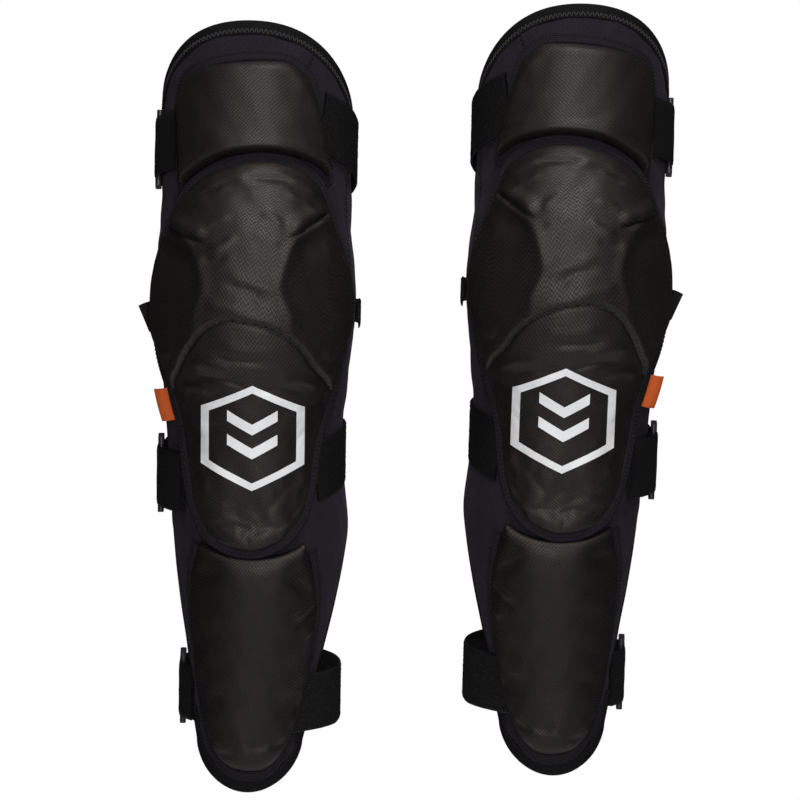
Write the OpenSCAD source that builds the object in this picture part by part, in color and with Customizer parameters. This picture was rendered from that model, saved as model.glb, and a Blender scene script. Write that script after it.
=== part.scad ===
// Pair of soft knee and shin guards, worn open at the back of the leg.
// Millimetres. +Z is up the leg, the padded fronts face -Y, and the origin lies
// midway between the two knees at the height of the knee's bending axis.
// Every piece is drawn for the wearer's right leg, whose inner side is +X, and
// the left guard is its mirror image.

/* [Pair] */
// Distance between the middles of the two knees
pair_spacing = 202; // [170:1:260]
// Sideways lean of the right guard in degrees
right_lean = 1.0; // [0:0.1:3]
// Sideways lean of the left guard in degrees
left_lean = 1.7; // [0:0.1:3]
// How much higher the left guard is held
left_lift = 11; // [0:1:20]

/* [Leg shape] */
// Distance of the bending axis behind the middle of the leg
flex_y = 10; // [6:1:14]
// Backward lean of the thigh part in degrees
thigh_tilt = 8; // [6:1:9]
// Backward lean of the shin part in degrees
shin_tilt = 10; // [9:1:12]

/* [Sleeve] */
// Thickness of the laminated sleeve
sleeve_wall = 4; // [3:0.5:4.5]
// Outer radius of the thigh part
thigh_r = 61.5; // [60.5:0.5:61.8]
// Outer radius at the knee
knee_r = 65.5; // [64.5:0.5:65.8]
// Outer radius round the calf
calf_r = 57.5; // [56.5:0.5:57.6]
// Outer radius at the ankle
ankle_r = 38.5; // [37.5:0.5:39]
// Height of the top hem at the side of the leg
hem_z = 122.5; // [118:0.5:125]
// Width of the hems
hem_w = 8.5; // [7:0.5:10]
// Radius of the rounded shin tongue
tongue_r = 34; // [32:0.5:36]

/* [Pads] */
// Thickness of a pad cover
cover_t = 1.6; // [1.2:0.1:2]
// Gap between a cover and its foam
pocket_gap = 0.3; // [0.2:0.1:0.5]
// Width of the flat margin between a cover's edge and its foam
pad_margin = 5; // [4:0.5:6]
// Gap between the pads and the sleeve under them
pad_gap = 0.4; // [0.3:0.1:0.6]

/* [Straps] */
// Width of the thigh and calf straps
strap_w = 40; // [38:1:40]
// Width of the ankle strap
ankle_strap_w = 38; // [36:1:40]
// Width of the strap behind the knee
knee_strap_w = 18; // [16:1:20]
// Thickness of the strap webbing
strap_t = 2; // [1.6:0.1:2.2]

/* [Buckles] */
// Radius of a buckle's round bars
bar_r = 1.6; // [1.4:0.1:1.8]
// Distance between a buckle's two bars
bar_pitch = 12; // [11:0.5:14]
// Radial clearance between a bar and the webbing sewn round it
bar_gap = 0.05; // [0.03:0.01:0.1]
// Thickness of the webbing folded round a bar
fold_t = 1.2; // [1:0.1:1.4]
// Height of a buckle's end block
cheek_h = 4.4; // [3:0.2:6]
// Thickness of a buckle's end block
cheek_t = 4; // [3.4:0.2:4.4]

/* [Hidden] */
SIDES = ["right", "left"];
THIGH_PIECES = ["thigh_sleeve", "thigh_hem", "thigh_gripper", "thigh_pad_cover",
    "thigh_pad_foam", "top_strap", "top_buckle_tab"];
KNEE_PIECES = ["knee_sleeve", "knee_cover", "knee_insert", "knee_strap"];
SHIN_PIECES = ["shin_sleeve", "shin_hem", "tibia_cover", "tibia_insert", "emblem",
    "side_label", "shin_pad_cover", "shin_pad_foam", "calf_strap",
    "calf_buckle_tab", "ankle_strap", "ankle_buckle_tab"];
BUCKLE_PIECES = ["top_buckle", "top_strap_tail", "calf_buckle", "calf_strap_tail",
    "ankle_buckle", "ankle_strap_tail"];
PIECES = concat(THIGH_PIECES, KNEE_PIECES, SHIN_PIECES, BUCKLE_PIECES);
NODES = [for (side = SIDES) for (piece = PIECES) str(side, "_", piece)];
node = "all";
$fn = 72;

// Outer radius of the sleeve against height, one list for each part of the leg
thigh_profile = [[thigh_r, 190], [thigh_r, 50], [knee_r - 0.5, 4], [knee_r, -12]];
knee_profile = [[knee_r, 44], [knee_r, -44]];
shin_profile = [[knee_r - 1, 12], [knee_r - 1.5, -20], [61, -45], [calf_r, -75],
    [calf_r, -150], [54, -177], [50, -202], [45, -228], [40, -258],
    [ankle_r, -290], [ankle_r, -330]];

// Outer radius of each pad against height, about an axis in front of the leg's
thigh_pad_shift = 19;
thigh_pad_profile = [[thigh_r - 7.5, 145], [thigh_r - 7.5, 62]];
knee_pad_shift = 14;
knee_pad_profile = [[35, 91], [43, 80], [52, 62], [61.5, 41], [68, 20], [70, 0],
    [69, -20], [63, -40], [54, -60], [51, -68]];
tibia_pad_shift = 20;
tibia_pad_profile = [[60, -20], [58, -36], [54.3, -60], [51.5, -80], [48.5, -120],
    [45.5, -150], [42, -166]];
shin_pad_shift = 12;
shin_pad_profile = [[54, -152], [48, -204], [40.5, -250], [37, -306]];

// Front outlines of the pads, x across the leg and z up
thigh_pad_outline = [[-48, 65], [-51, 124], [-46, 134], [-8, 141], [29, 140],
    [36, 131], [46, 76], [5, 82], [-33, 77]];
dome_r = 54.5;
dome_centre = [-1, 32.5];
knee_pad_outline = concat(
    [for (a = [28 : 12 : 160]) dome_centre + dome_r * [cos(a), sin(a)]],
    [[-62, 36], [-67.5, 6], [-68.5, -20], [-61, -42], [-58, -70], [52, -70],
     [57, -34], [60, -10], [59, 12], [52, 36]]);
tibia_pad_outline = [[-60, -20], [-54, -53], [-48, -79], [-41, -108], [-34, -138],
    [-20, -155], [-1, -162], [15, -155], [25, -137], [37, -101], [45, -62],
    [55, -20]];
shin_pad_outline = [[-38, -156], [-42, -184], [-40, -216], [-37, -250], [-31, -280],
    [-22, -298], [-5, -303], [10, -300], [18, -287], [25, -268], [33, -237],
    [35, -204], [32, -162], [-1, -167]];

// Bending wedges, as angles above and below the horizontal at the front
sleeve_split = 30;
split_gap = 0.3;
cover_split = 33;

// Cutting shapes reach this far from the middle of the leg
reach = 100;

// The top hem rises towards the front, by these slopes before and behind the middle
hem_front_slope = 0.815;
hem_rear_slope = 0.38;
hem_rear = 34;
hem_drop = hem_w * sqrt(1 + hem_front_slope * hem_front_slope);
hem_proud = 0.6;
lining_t = sleeve_wall - 1;

// Middle of the tongue's round end, and the height where its bound edge begins
tongue_z = -284;
tongue_hem_top = -262;

// Strap loops: centre, inner radius, height, width, buckle angle, tab end angle
// and sewn end angle, with angles turning from the front over the outer side
top_loop = [[0, 0], thigh_r + 1.1, 95, strap_w, 88, 60, 312];
calf_loop = [[0, 0], calf_r + 0.6, -114.5, strap_w, 88, 56, 318];
ankle_loop = [[7, 12], 50, -260, ankle_strap_w, 88, 62, 326];
bar_lift = 2.6;
fold_r = bar_r + bar_gap + fold_t;
tail_gap = 0.3;
tail_span = 45;
sewn_span = 16;
sewn_depth = 5;
tab_t = 2.1;

function at(r, angle) = [-r * sin(angle), -r * cos(angle)];
function arc_angle(length, r) = length / r * 180 / PI;
function drawn(side, piece) = node == "all" || node == str(side, "_", piece);
function midway(values) = (min(values) + max(values)) / 2;
function middle(pts) = [for (i = [0, 1]) midway([for (p = pts) p[i]])];
function inset(pts, margin) =
    let (c = middle(pts)) [for (p = pts) c + (p - c) * (1 - margin / norm(p - c))];
function loop_centre(loop) = loop[0];
function loop_r(loop) = loop[1];
function loop_z(loop) = loop[2];
function loop_w(loop) = loop[3];
function bar_circle(loop) = loop_r(loop) + bar_lift;
function bar_angle(loop, end) = loop[4] + end * arc_angle(bar_pitch / 2, bar_circle(loop));

// ---- places ----

module place(side) {
    if (side == "right")
        translate([-pair_spacing / 2, 0, 0]) rotate([0, right_lean, 0]) children();
    else
        translate([pair_spacing / 2, 0, left_lift]) rotate([0, left_lean, 0])
            mirror([1, 0, 0]) children();
}

module bent(angle) {
    translate([0, flex_y, 0]) rotate([angle, 0, 0]) translate([0, -flex_y, 0]) children();
}

module in_thigh() { bent(-thigh_tilt) children(); }

module in_shin() { bent(shin_tilt) children(); }

// ---- shared shapes ----

module turned(profile, grow) {
    top = profile[0][1];
    bottom = profile[len(profile) - 1][1];
    rotate_extrude()
        polygon(concat([[0, top]], [for (p = profile) [p[0] + grow, p[1]]], [[0, bottom]]));
}

module wall(profile, outer, inner) {
    difference() {
        turned(profile, outer);
        turned(profile, inner);
    }
}

module seen_from_front(back_y) {
    translate([0, back_y, 0]) rotate([90, 0, 0]) linear_extrude(reach + 40) children();
}

module seen_from_side() {
    rotate([90, 0, 90]) linear_extrude(2 * reach, center = true) children();
}

module arc_band(r_in, r_out, from, to) {
    far = 2 * r_out;
    fan = [for (a = [from : 20 : to]) at(far, a)];
    intersection() {
        difference() {
            circle(r_out);
            circle(r_in);
        }
        polygon(concat([[0, 0]], fan, [at(far, to)]));
    }
}

module on_loop(loop, height) {
    c = loop_centre(loop);
    translate([c[0], c[1], loop_z(loop) - height / 2]) linear_extrude(height) children();
}

module at_bar(loop, end) {
    translate(at(bar_circle(loop), bar_angle(loop, end))) children();
}

// ---- sleeves ----

function hem_line(y, drop) = hem_z - drop - (y < 0 ? hem_front_slope : hem_rear_slope) * y;

module thigh_side(drop) {
    seen_from_side() polygon([[-reach, hem_line(-reach, drop)], [0, hem_line(0, drop)],
        [hem_rear, hem_line(hem_rear, drop)], [hem_rear + 2, 72], [14, 36],
        [flex_y - 1, 1], [-reach, (reach + flex_y) * tan(sleeve_split - thigh_tilt)]]);
}

module hem_strip(rear) {
    seen_from_side() polygon([[-reach, hem_line(-reach, 0)], [0, hem_line(0, 0)],
        [rear, hem_line(rear, 0)], [rear, hem_line(rear, hem_drop)],
        [0, hem_line(0, hem_drop)], [-reach, hem_line(-reach, hem_drop)]]);
}

module thigh_sleeve() {
    color("#15141c") in_thigh() intersection() {
        wall(thigh_profile, 0, -sleeve_wall);
        thigh_side(hem_drop);
    }
}

module thigh_hem() {
    color("#101014") in_thigh() intersection() {
        wall(thigh_profile, hem_proud, -lining_t);
        hem_strip(hem_rear);
    }
}

module thigh_gripper() {
    color("#2a2a30") in_thigh() intersection() {
        wall(thigh_profile, -lining_t, -sleeve_wall);
        hem_strip(20);
    }
}

module knee_sleeve() {
    rear = 2;
    slope = tan(sleeve_split - split_gap);
    color("#15141c") intersection() {
        wall(knee_profile, 0, -sleeve_wall);
        seen_from_side() polygon([[-reach, (reach + flex_y) * slope],
            [rear, (flex_y - rear) * slope], [rear, (rear - flex_y) * slope],
            [-reach, -(reach + flex_y) * slope]]);
    }
}

module shin_side() {
    seen_from_side() polygon([[-reach, -(reach + flex_y) * tan(sleeve_split - shin_tilt)],
        [flex_y - 1, -1], [14, -40], [14, -90], [8, -125], [0, -155], [-5, -237],
        [-5, -330], [-reach, -330]]);
}

module tongue(margin) {
    r = tongue_r - margin;
    union() {
        translate([0, tongue_z]) circle(r);
        polygon([[-90, 40], [90, 40], [90, -200], [r, tongue_z], [-r, tongue_z],
            [-90, -200]]);
    }
}

module shin_wall() {
    intersection() {
        wall(shin_profile, 0, -sleeve_wall);
        shin_side();
        seen_from_front(40) children();
    }
}

module hem_zone() { translate([-reach, tongue_hem_top - reach]) square([2 * reach, reach]); }

module shin_sleeve() {
    color("#15141c") in_shin() shin_wall() difference() {
        tongue(0);
        difference() {
            hem_zone();
            tongue(hem_w);
        }
    }
}

module shin_hem() {
    color("#101014") in_shin() shin_wall() difference() {
        intersection() {
            tongue(0);
            hem_zone();
        }
        tongue(hem_w);
    }
}

// ---- pads: a cover sewn down at its margin over a foam block ----

module pad_block(outline, profile, shift, margin, depth) {
    intersection() {
        translate([0, -shift, 0]) turned(profile, -depth);
        seen_from_front(-8) polygon(inset(outline, margin));
    }
}

module cover_shell(outline, profile, shift) {
    difference() {
        pad_block(outline, profile, shift, 0, 0);
        pad_block(outline, profile, shift, pad_margin, cover_t);
    }
}

module foam_block(outline, profile, shift) {
    pad_block(outline, profile, shift, pad_margin + pocket_gap, cover_t + pocket_gap);
}

module thigh_pad_cover() {
    color("#2c2a28") in_thigh() difference() {
        cover_shell(thigh_pad_outline, thigh_pad_profile, thigh_pad_shift);
        turned(thigh_profile, pad_gap);
    }
}

module thigh_pad_foam() {
    color("#3c3c3c") in_thigh() difference() {
        foam_block(thigh_pad_outline, thigh_pad_profile, thigh_pad_shift);
        turned(thigh_profile, pad_gap);
    }
}

module whole_leg(grow) {
    in_thigh() turned(thigh_profile, grow);
    turned(knee_profile, grow);
    in_shin() turned(shin_profile, grow);
}

module above_cover_split() {
    slope = tan(cover_split);
    seen_from_side() polygon([[-reach, 120], [flex_y, 120], [flex_y, 0],
        [-reach, -(reach + flex_y) * slope]]);
}

module below_cover_split() {
    slope = tan(cover_split - shin_tilt + 0.5);
    seen_from_side() polygon([[-reach, -(reach + flex_y) * slope], [flex_y, 0],
        [flex_y, -200], [-reach, -200]]);
}

module knee_cover() {
    color("#262422") difference() {
        intersection() {
            cover_shell(knee_pad_outline, knee_pad_profile, knee_pad_shift);
            above_cover_split();
        }
        whole_leg(pad_gap);
    }
}

module knee_insert() {
    color("#e07a20") difference() {
        intersection() {
            foam_block(knee_pad_outline, knee_pad_profile, knee_pad_shift);
            above_cover_split();
        }
        whole_leg(pad_gap);
    }
}

module tibia_cover() {
    color("#262422") in_shin() difference() {
        intersection() {
            cover_shell(tibia_pad_outline, tibia_pad_profile, tibia_pad_shift);
            below_cover_split();
        }
        turned(shin_profile, pad_gap);
    }
}

module tibia_insert() {
    color("#e07a20") in_shin() difference() {
        intersection() {
            foam_block(tibia_pad_outline, tibia_pad_profile, tibia_pad_shift);
            below_cover_split();
        }
        turned(shin_profile, pad_gap);
    }
}

module shin_pad_cover() {
    color("#1f1e1d") in_shin() difference() {
        cover_shell(shin_pad_outline, shin_pad_profile, shin_pad_shift);
        turned(shin_profile, pad_gap);
    }
}

module shin_pad_foam() {
    color("#3c3c3c") in_shin() difference() {
        foam_block(shin_pad_outline, shin_pad_profile, shin_pad_shift);
        turned(shin_profile, pad_gap);
    }
}

// ---- print and label ----

module chevron(half_w, rise, line) {
    polygon([[-half_w, rise], [0, 0], [half_w, rise], [half_w, rise + line], [0, line],
        [-half_w, rise + line]]);
}

module emblem_frame(margin) {
    half_w = 33 - margin;
    half_h = 35 - margin;
    polygon([[-half_w, half_h * 0.55], [0, half_h], [half_w, half_h * 0.55],
        [half_w, -half_h * 0.55], [0, -half_h], [-half_w, -half_h * 0.55]]);
}

module emblem() {
    line = 5;
    print_t = 0.4;
    color("#e8e8e6") in_shin() difference() {
        intersection() {
            translate([0, -tibia_pad_shift, 0]) turned(tibia_pad_profile, print_t + 0.05);
            seen_from_front(-40) translate([1, -78]) {
                difference() {
                    emblem_frame(0);
                    emblem_frame(line);
                }
                translate([0, 2]) chevron(16, 9, 7);
                translate([0, -14]) chevron(16, 9, 7);
            }
        }
        translate([0, -tibia_pad_shift, 0]) turned(tibia_pad_profile, 0.05);
    }
}

module side_label() {
    label_w = 12;
    label_h = 22;
    label_t = 1;
    edge_x = -52;
    sewn = 6;
    color("#e2591c") in_shin() difference() {
        translate([edge_x - label_w, -34, -77]) cube([label_w + sewn, label_t, label_h]);
        pad_block(tibia_pad_outline, tibia_pad_profile, tibia_pad_shift, 0, 0);
        turned(shin_profile, 0);
    }
}

// ---- straps ----

module main_strap(loop, profile) {
    r = loop_r(loop);
    first = bar_angle(loop, 1) + arc_angle(fold_r + 0.5, r);
    last = loop[6];
    difference() {
        on_loop(loop, loop_w(loop)) {
            arc_band(r, r + strap_t, first, last);
            arc_band(r - sewn_depth, r + strap_t, last - sewn_span, last);
        }
        turned(profile, 0);
    }
}

module buckle_tab(loop, profile) {
    r = loop_r(loop);
    front = bar_angle(loop, -1);
    difference() {
        on_loop(loop, loop_w(loop)) difference() {
            union() {
                arc_band(r - 0.3, r + tab_t, loop[5], front);
                arc_band(r - sewn_depth, r + tab_t, loop[5], loop[5] + sewn_span / 2);
                at_bar(loop, -1) circle(fold_r);
            }
            at_bar(loop, -1) circle(bar_r + bar_gap);
        }
        turned(profile, 0);
    }
}

module buckle(loop) {
    inner_h = loop_w(loop) + 1;
    full_h = inner_h + 2 * cheek_h;
    color("#55585c") difference() {
        on_loop(loop, full_h) {
            for (end = [-1, 1]) at_bar(loop, end) circle(cheek_t / 2);
            hub = bar_circle(loop) * cos(arc_angle(bar_pitch / 2, bar_circle(loop)));
            rotate(-loop[4]) translate([-bar_pitch / 2, -hub - cheek_t / 2])
                square([bar_pitch, cheek_t]);
        }
        on_loop(loop, inner_h) difference() {
            translate(at(bar_circle(loop), loop[4])) circle(bar_pitch);
            for (end = [-1, 1]) at_bar(loop, end) circle(bar_r);
        }
    }
}

module strap_tail(loop) {
    r = loop_r(loop) + strap_t + tail_gap;
    rear = bar_angle(loop, 1);
    on_loop(loop, loop_w(loop) - 1) difference() {
        union() {
            arc_band(r, r + fold_t, rear, rear + tail_span);
            at_bar(loop, 1) circle(fold_r);
        }
        at_bar(loop, 1) circle(bar_r + bar_gap);
    }
}

module knee_strap_plan() {
    side_x = knee_r + 0.8;
    corner = 34;
    back_y = 58;
    stub = [8, 3.4];
    difference() {
        knee_strap_edge(side_x + strap_t, corner + strap_t, back_y + strap_t);
        knee_strap_edge(side_x, corner, back_y);
    }
    translate([0.5 - side_x - strap_t - stub[0], 4]) square(stub);
}

module knee_strap_edge(side_x, corner, back_y) {
    front_y = -7.4;
    intersection() {
        union() {
            for (side = [-1, 1])
                translate([side * (side_x - corner), back_y - corner]) circle(corner);
            translate([-side_x, front_y]) square([2 * side_x, back_y - corner - front_y]);
            translate([corner - side_x, front_y])
                square([2 * (side_x - corner), back_y - front_y]);
        }
        translate([-reach, front_y]) square(2 * reach);
    }
}

module knee_strap() {
    mid_z = -8;
    color("#131313") translate([0, 0, mid_z - knee_strap_w / 2])
        linear_extrude(knee_strap_w) knee_strap_plan();
}

for (side = SIDES) {
    if (drawn(side, "thigh_sleeve")) place(side) thigh_sleeve();
    if (drawn(side, "thigh_hem")) place(side) thigh_hem();
    if (drawn(side, "thigh_gripper")) place(side) thigh_gripper();
    if (drawn(side, "thigh_pad_cover")) place(side) thigh_pad_cover();
    if (drawn(side, "thigh_pad_foam")) place(side) thigh_pad_foam();
    if (drawn(side, "top_strap"))
        place(side) color("#141414") in_thigh() main_strap(top_loop, thigh_profile);
    if (drawn(side, "top_buckle_tab"))
        place(side) color("#141414") in_thigh() buckle_tab(top_loop, thigh_profile);
    if (drawn(side, "knee_sleeve")) place(side) knee_sleeve();
    if (drawn(side, "knee_cover")) place(side) knee_cover();
    if (drawn(side, "knee_insert")) place(side) knee_insert();
    if (drawn(side, "knee_strap")) place(side) knee_strap();
    if (drawn(side, "shin_sleeve")) place(side) shin_sleeve();
    if (drawn(side, "shin_hem")) place(side) shin_hem();
    if (drawn(side, "tibia_cover")) place(side) tibia_cover();
    if (drawn(side, "tibia_insert")) place(side) tibia_insert();
    if (drawn(side, "emblem")) place(side) emblem();
    if (drawn(side, "side_label")) place(side) side_label();
    if (drawn(side, "shin_pad_cover")) place(side) shin_pad_cover();
    if (drawn(side, "shin_pad_foam")) place(side) shin_pad_foam();
    if (drawn(side, "calf_strap"))
        place(side) color("#141414") in_shin() main_strap(calf_loop, shin_profile);
    if (drawn(side, "calf_buckle_tab"))
        place(side) color("#141414") in_shin() buckle_tab(calf_loop, shin_profile);
    if (drawn(side, "ankle_strap"))
        place(side) color("#141414") in_shin() main_strap(ankle_loop, shin_profile);
    if (drawn(side, "ankle_buckle_tab"))
        place(side) color("#141414") in_shin() buckle_tab(ankle_loop, shin_profile);
    if (drawn(side, "top_buckle")) place(side) in_thigh() buckle(top_loop);
    if (drawn(side, "top_strap_tail"))
        place(side) color("#1b1b1b") in_thigh() strap_tail(top_loop);
    if (drawn(side, "calf_buckle")) place(side) in_shin() buckle(calf_loop);
    if (drawn(side, "calf_strap_tail"))
        place(side) color("#1b1b1b") in_shin() strap_tail(calf_loop);
    if (drawn(side, "ankle_buckle")) place(side) in_shin() buckle(ankle_loop);
    if (drawn(side, "ankle_strap_tail"))
        place(side) color("#1b1b1b") in_shin() strap_tail(ankle_loop);
}
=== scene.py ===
"""The looks of a pair of soft knee and shin guards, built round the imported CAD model.

Every soft piece is drawn once, for the right guard, in that guard's straight axes: x to the
inner side, y to the back and z up the leg, in millimetres, with the leg's middle line at
x = y = 0. It is then bent at the knee and put in place, or mirrored for the left guard.
A point on the leg is given by its angle from the front, positive to the inner side, and its
height. UV map "weave" gives each point's place on its own cloth, in metres.
"""

import math

import bpy
import numpy as np
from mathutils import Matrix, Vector
from mathutils.bvhtree import BVHTree


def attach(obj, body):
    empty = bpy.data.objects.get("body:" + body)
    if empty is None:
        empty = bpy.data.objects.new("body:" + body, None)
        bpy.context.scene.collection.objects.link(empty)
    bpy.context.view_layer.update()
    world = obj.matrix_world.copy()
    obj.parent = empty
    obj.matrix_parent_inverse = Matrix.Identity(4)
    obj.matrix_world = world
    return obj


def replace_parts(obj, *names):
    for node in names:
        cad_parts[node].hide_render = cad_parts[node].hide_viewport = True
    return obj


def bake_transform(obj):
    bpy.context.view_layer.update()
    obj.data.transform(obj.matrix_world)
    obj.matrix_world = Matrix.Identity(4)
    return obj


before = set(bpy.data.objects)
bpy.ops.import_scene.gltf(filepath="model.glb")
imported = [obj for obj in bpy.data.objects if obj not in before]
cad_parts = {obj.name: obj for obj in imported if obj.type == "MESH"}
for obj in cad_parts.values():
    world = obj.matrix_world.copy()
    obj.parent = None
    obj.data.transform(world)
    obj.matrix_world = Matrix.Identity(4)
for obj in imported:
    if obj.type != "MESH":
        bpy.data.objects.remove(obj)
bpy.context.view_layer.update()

# ---- sizes, in millimetres and degrees ----

MM = 0.001
# The guard is made a little bent: about a line FLEX_Y behind the leg's middle at the knee, by
# so many degrees above and below it, changing over BEND_HALF to each side.
FLEX_Y = 10.0
THIGH_TILT, SHIN_TILT = -8.0, 10.0
BEND_HALF = 44.0
PLACES = {
    "right": {"middle": -101.0, "lift": 0.0, "lean": 1.0, "mirror": 1},
    "left": {"middle": 101.0, "lift": 11.0, "lean": 1.7, "mirror": -1},
}
SLEEVE_WALL = 4.0
# Cloth is unrolled at this radius, and the sleeve's own radius follows the table by height.
UNROLL_R = 62.0
SLEEVE_RADII = [
    (-330, 38.5), (-290, 38.5), (-258, 40), (-228, 45), (-202, 50), (-177, 54), (-150, 57.2),
    (-75, 57.5), (-45, 61), (-20, 64), (4, 65.2), (50, 61.5), (190, 61.5),
]
# The leg's middle line wanders sideways a little down the guard.
SWAY = [(-330, -1), (-290, 0), (-260, 1), (-225, 3), (-180, 4.4), (-150, 5.2), (-120, 2),
        (-95, 0.8), (-50, 0.4), (0, 0), (50, -0.8), (110, -1), (150, -2), (190, -3)]

SEED = 7
# Height at which the knee panel is divided into its knee and tibia parts.
PANEL_SPLIT = -14.0


# ---- placing ----

def smooth(t):
    t = np.clip(t, 0, 1)
    return t * t * (3 - 2 * t)


def smooth_table(table, blur):
    """The table as a function of height, with its corners rounded over blur millimetres."""
    heights = np.arange(-400.0, 260.0, 1.0)
    values = np.interp(heights, [p[0] for p in table], [p[1] for p in table])
    kernel = np.hanning(blur + 2)[1:-1]
    padded = np.pad(values, blur, mode="edge")
    soft = np.convolve(padded, kernel / kernel.sum(), mode="same")[blur:-blur]
    return lambda s: np.interp(s, heights, soft)


leg_radius = smooth_table(SLEEVE_RADII, 28)
sway = smooth_table(SWAY, 30)


def on_leg(places, lift):
    """Points at (angle, height) places, lift millimetres off the sleeve's outer face."""
    a, s = np.radians(places[..., 0]), places[..., 1]
    r = leg_radius(s) + lift
    return np.stack([r * np.sin(a) + sway(s), -r * np.cos(a), s], axis=-1)


def outwards(phi):
    """Unit vectors straight away from the leg at those angles."""
    a = np.radians(phi)
    return np.stack([np.sin(a), -np.cos(a), 0 * a], axis=-1)


def bend(points):
    """Points of the straight guard after the bend it is made with."""
    x, y, z = points[..., 0], points[..., 1] - FLEX_Y, points[..., 2]
    share = smooth((z + BEND_HALF) / (2 * BEND_HALF))
    turn = np.radians(SHIN_TILT + (THIGH_TILT - SHIN_TILT) * share)
    return np.stack([x, FLEX_Y + y * np.cos(turn) - z * np.sin(turn),
                     y * np.sin(turn) + z * np.cos(turn)], axis=-1)


def placed(points, side):
    """Points of the straight right guard, bent and put in place, in metres."""
    at = PLACES[side]
    p = bend(np.asarray(points, float))
    x, y, z = p[..., 0] * at["mirror"], p[..., 1], p[..., 2]
    lean = math.radians(at["lean"])
    return MM * np.stack([at["middle"] + x * math.cos(lean) + z * math.sin(lean), y,
                          at["lift"] - x * math.sin(lean) + z * math.cos(lean)], axis=-1)


# ---- lines and grids ----

def unit(vectors):
    return vectors / np.linalg.norm(vectors, axis=-1, keepdims=True)


def run_of(line):
    """Distance along a line to each of its points."""
    return np.concatenate([[0], np.cumsum(np.linalg.norm(np.diff(line, axis=0), axis=1))])


def length_of(line):
    return float(np.linalg.norm(np.diff(line, axis=0), axis=1).sum())


def at_places(places, run, values):
    """Rows of values found at places between run's entries."""
    return np.stack([np.interp(places, run, values[:, k]) for k in range(values.shape[1])],
                    axis=1)


def spaced(line, count):
    """The same line as count points an equal distance apart."""
    line = np.asarray(line, float)
    run = run_of(line)
    return at_places(np.linspace(0, run[-1], count), run, line)


def joined(a, b, c, d, t):
    """Smooth values between b and c, with a and d their neighbours and t from 0 to 1."""
    return 0.5 * (2 * b + (c - a) * t + (2 * a - 5 * b + 4 * c - d) * t**2
                  + (3 * b - a - 3 * c + d) * t**3)


def curve(points, count):
    """count points spaced evenly along a smooth line through the given ones."""
    p = np.array(points, float)
    p = np.vstack([2 * p[0] - p[1], p, 2 * p[-1] - p[-2]])
    t = np.linspace(0, 1, 24, endpoint=False)[:, None]
    fine = [joined(*four, t) for four in zip(p, p[1:], p[2:], p[3:])]
    return spaced(np.vstack(fine + [p[-2:-1]]), count)


def patch(left, right, bottom, top, cols, rows):
    """A grid of rows by cols points filling four joined sides. left and right run upwards."""
    left, right = curve(left, rows)[:, None], curve(right, rows)[:, None]
    bottom, top = curve(bottom, cols)[None], curve(top, cols)[None]
    u, v = np.linspace(0, 1, cols)[None, :, None], np.linspace(0, 1, rows)[:, None, None]
    corners = ((1 - u) * (1 - v) * bottom[:, :1] + u * (1 - v) * bottom[:, -1:]
               + (1 - u) * v * top[:, :1] + u * v * top[:, -1:])
    return (1 - u) * left + u * right + (1 - v) * bottom + v * top - corners


def rim(grid):
    """The points round a grid's border, counter-clockwise from its first corner, not closed."""
    return np.concatenate([grid[0, :-1], grid[:-1, -1], grid[-1, :0:-1], grid[:0:-1, 0]])


def grid_faces(rows, cols, wrap=False):
    index = np.arange(rows * cols).reshape(rows, cols)
    if wrap:
        index = np.concatenate([index, index[:, :1]], axis=1)
    return np.stack([index[:-1, :-1], index[:-1, 1:], index[1:, 1:], index[1:, :-1]],
                    axis=-1).reshape(-1, 4)


def flat(grid):
    """Angles and heights as millimetres on unrolled cloth."""
    return np.stack([np.radians(grid[..., 0]) * UNROLL_R, grid[..., 1]], axis=-1)


def off_line(points, line):
    """Distance, signed side and place along it (0 to 1) of points from a flat line."""
    p = points.reshape(-1, 2)
    a, b = line[:-1], line[1:]
    d = b - a
    best = np.full(len(p), 1e9)
    signed, along = np.zeros(len(p)), np.zeros(len(p))
    for i in range(len(a)):
        t = np.clip(((p - a[i]) @ d[i]) / (d[i] @ d[i]), 0, 1)
        away = p - a[i] - t[:, None] * d[i]
        far = np.linalg.norm(away, axis=1)
        side = np.sign(d[i][0] * away[:, 1] - d[i][1] * away[:, 0])
        near = far < best
        best[near], signed[near], along[near] = far[near], side[near], ((i + t) / len(a))[near]
    shape = points.shape[:-1]
    return best.reshape(shape), signed.reshape(shape), along.reshape(shape)


def bell(x, width):
    return np.exp(-(x / width) ** 2)


# ---- meshes ----

class Shape:
    """Points in the right guard's straight axes, with four-sided faces and a UV per point."""

    def __init__(self):
        self.points, self.faces, self.uvs, self.count = [], [], [], 0

    def add(self, points, faces, uvs):
        points = points.reshape(-1, 3)
        self.points.append(points)
        self.uvs.append(np.asarray(uvs, float).reshape(-1, 2))
        self.faces.append(faces + self.count)
        self.count += len(points)
        return self


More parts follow.
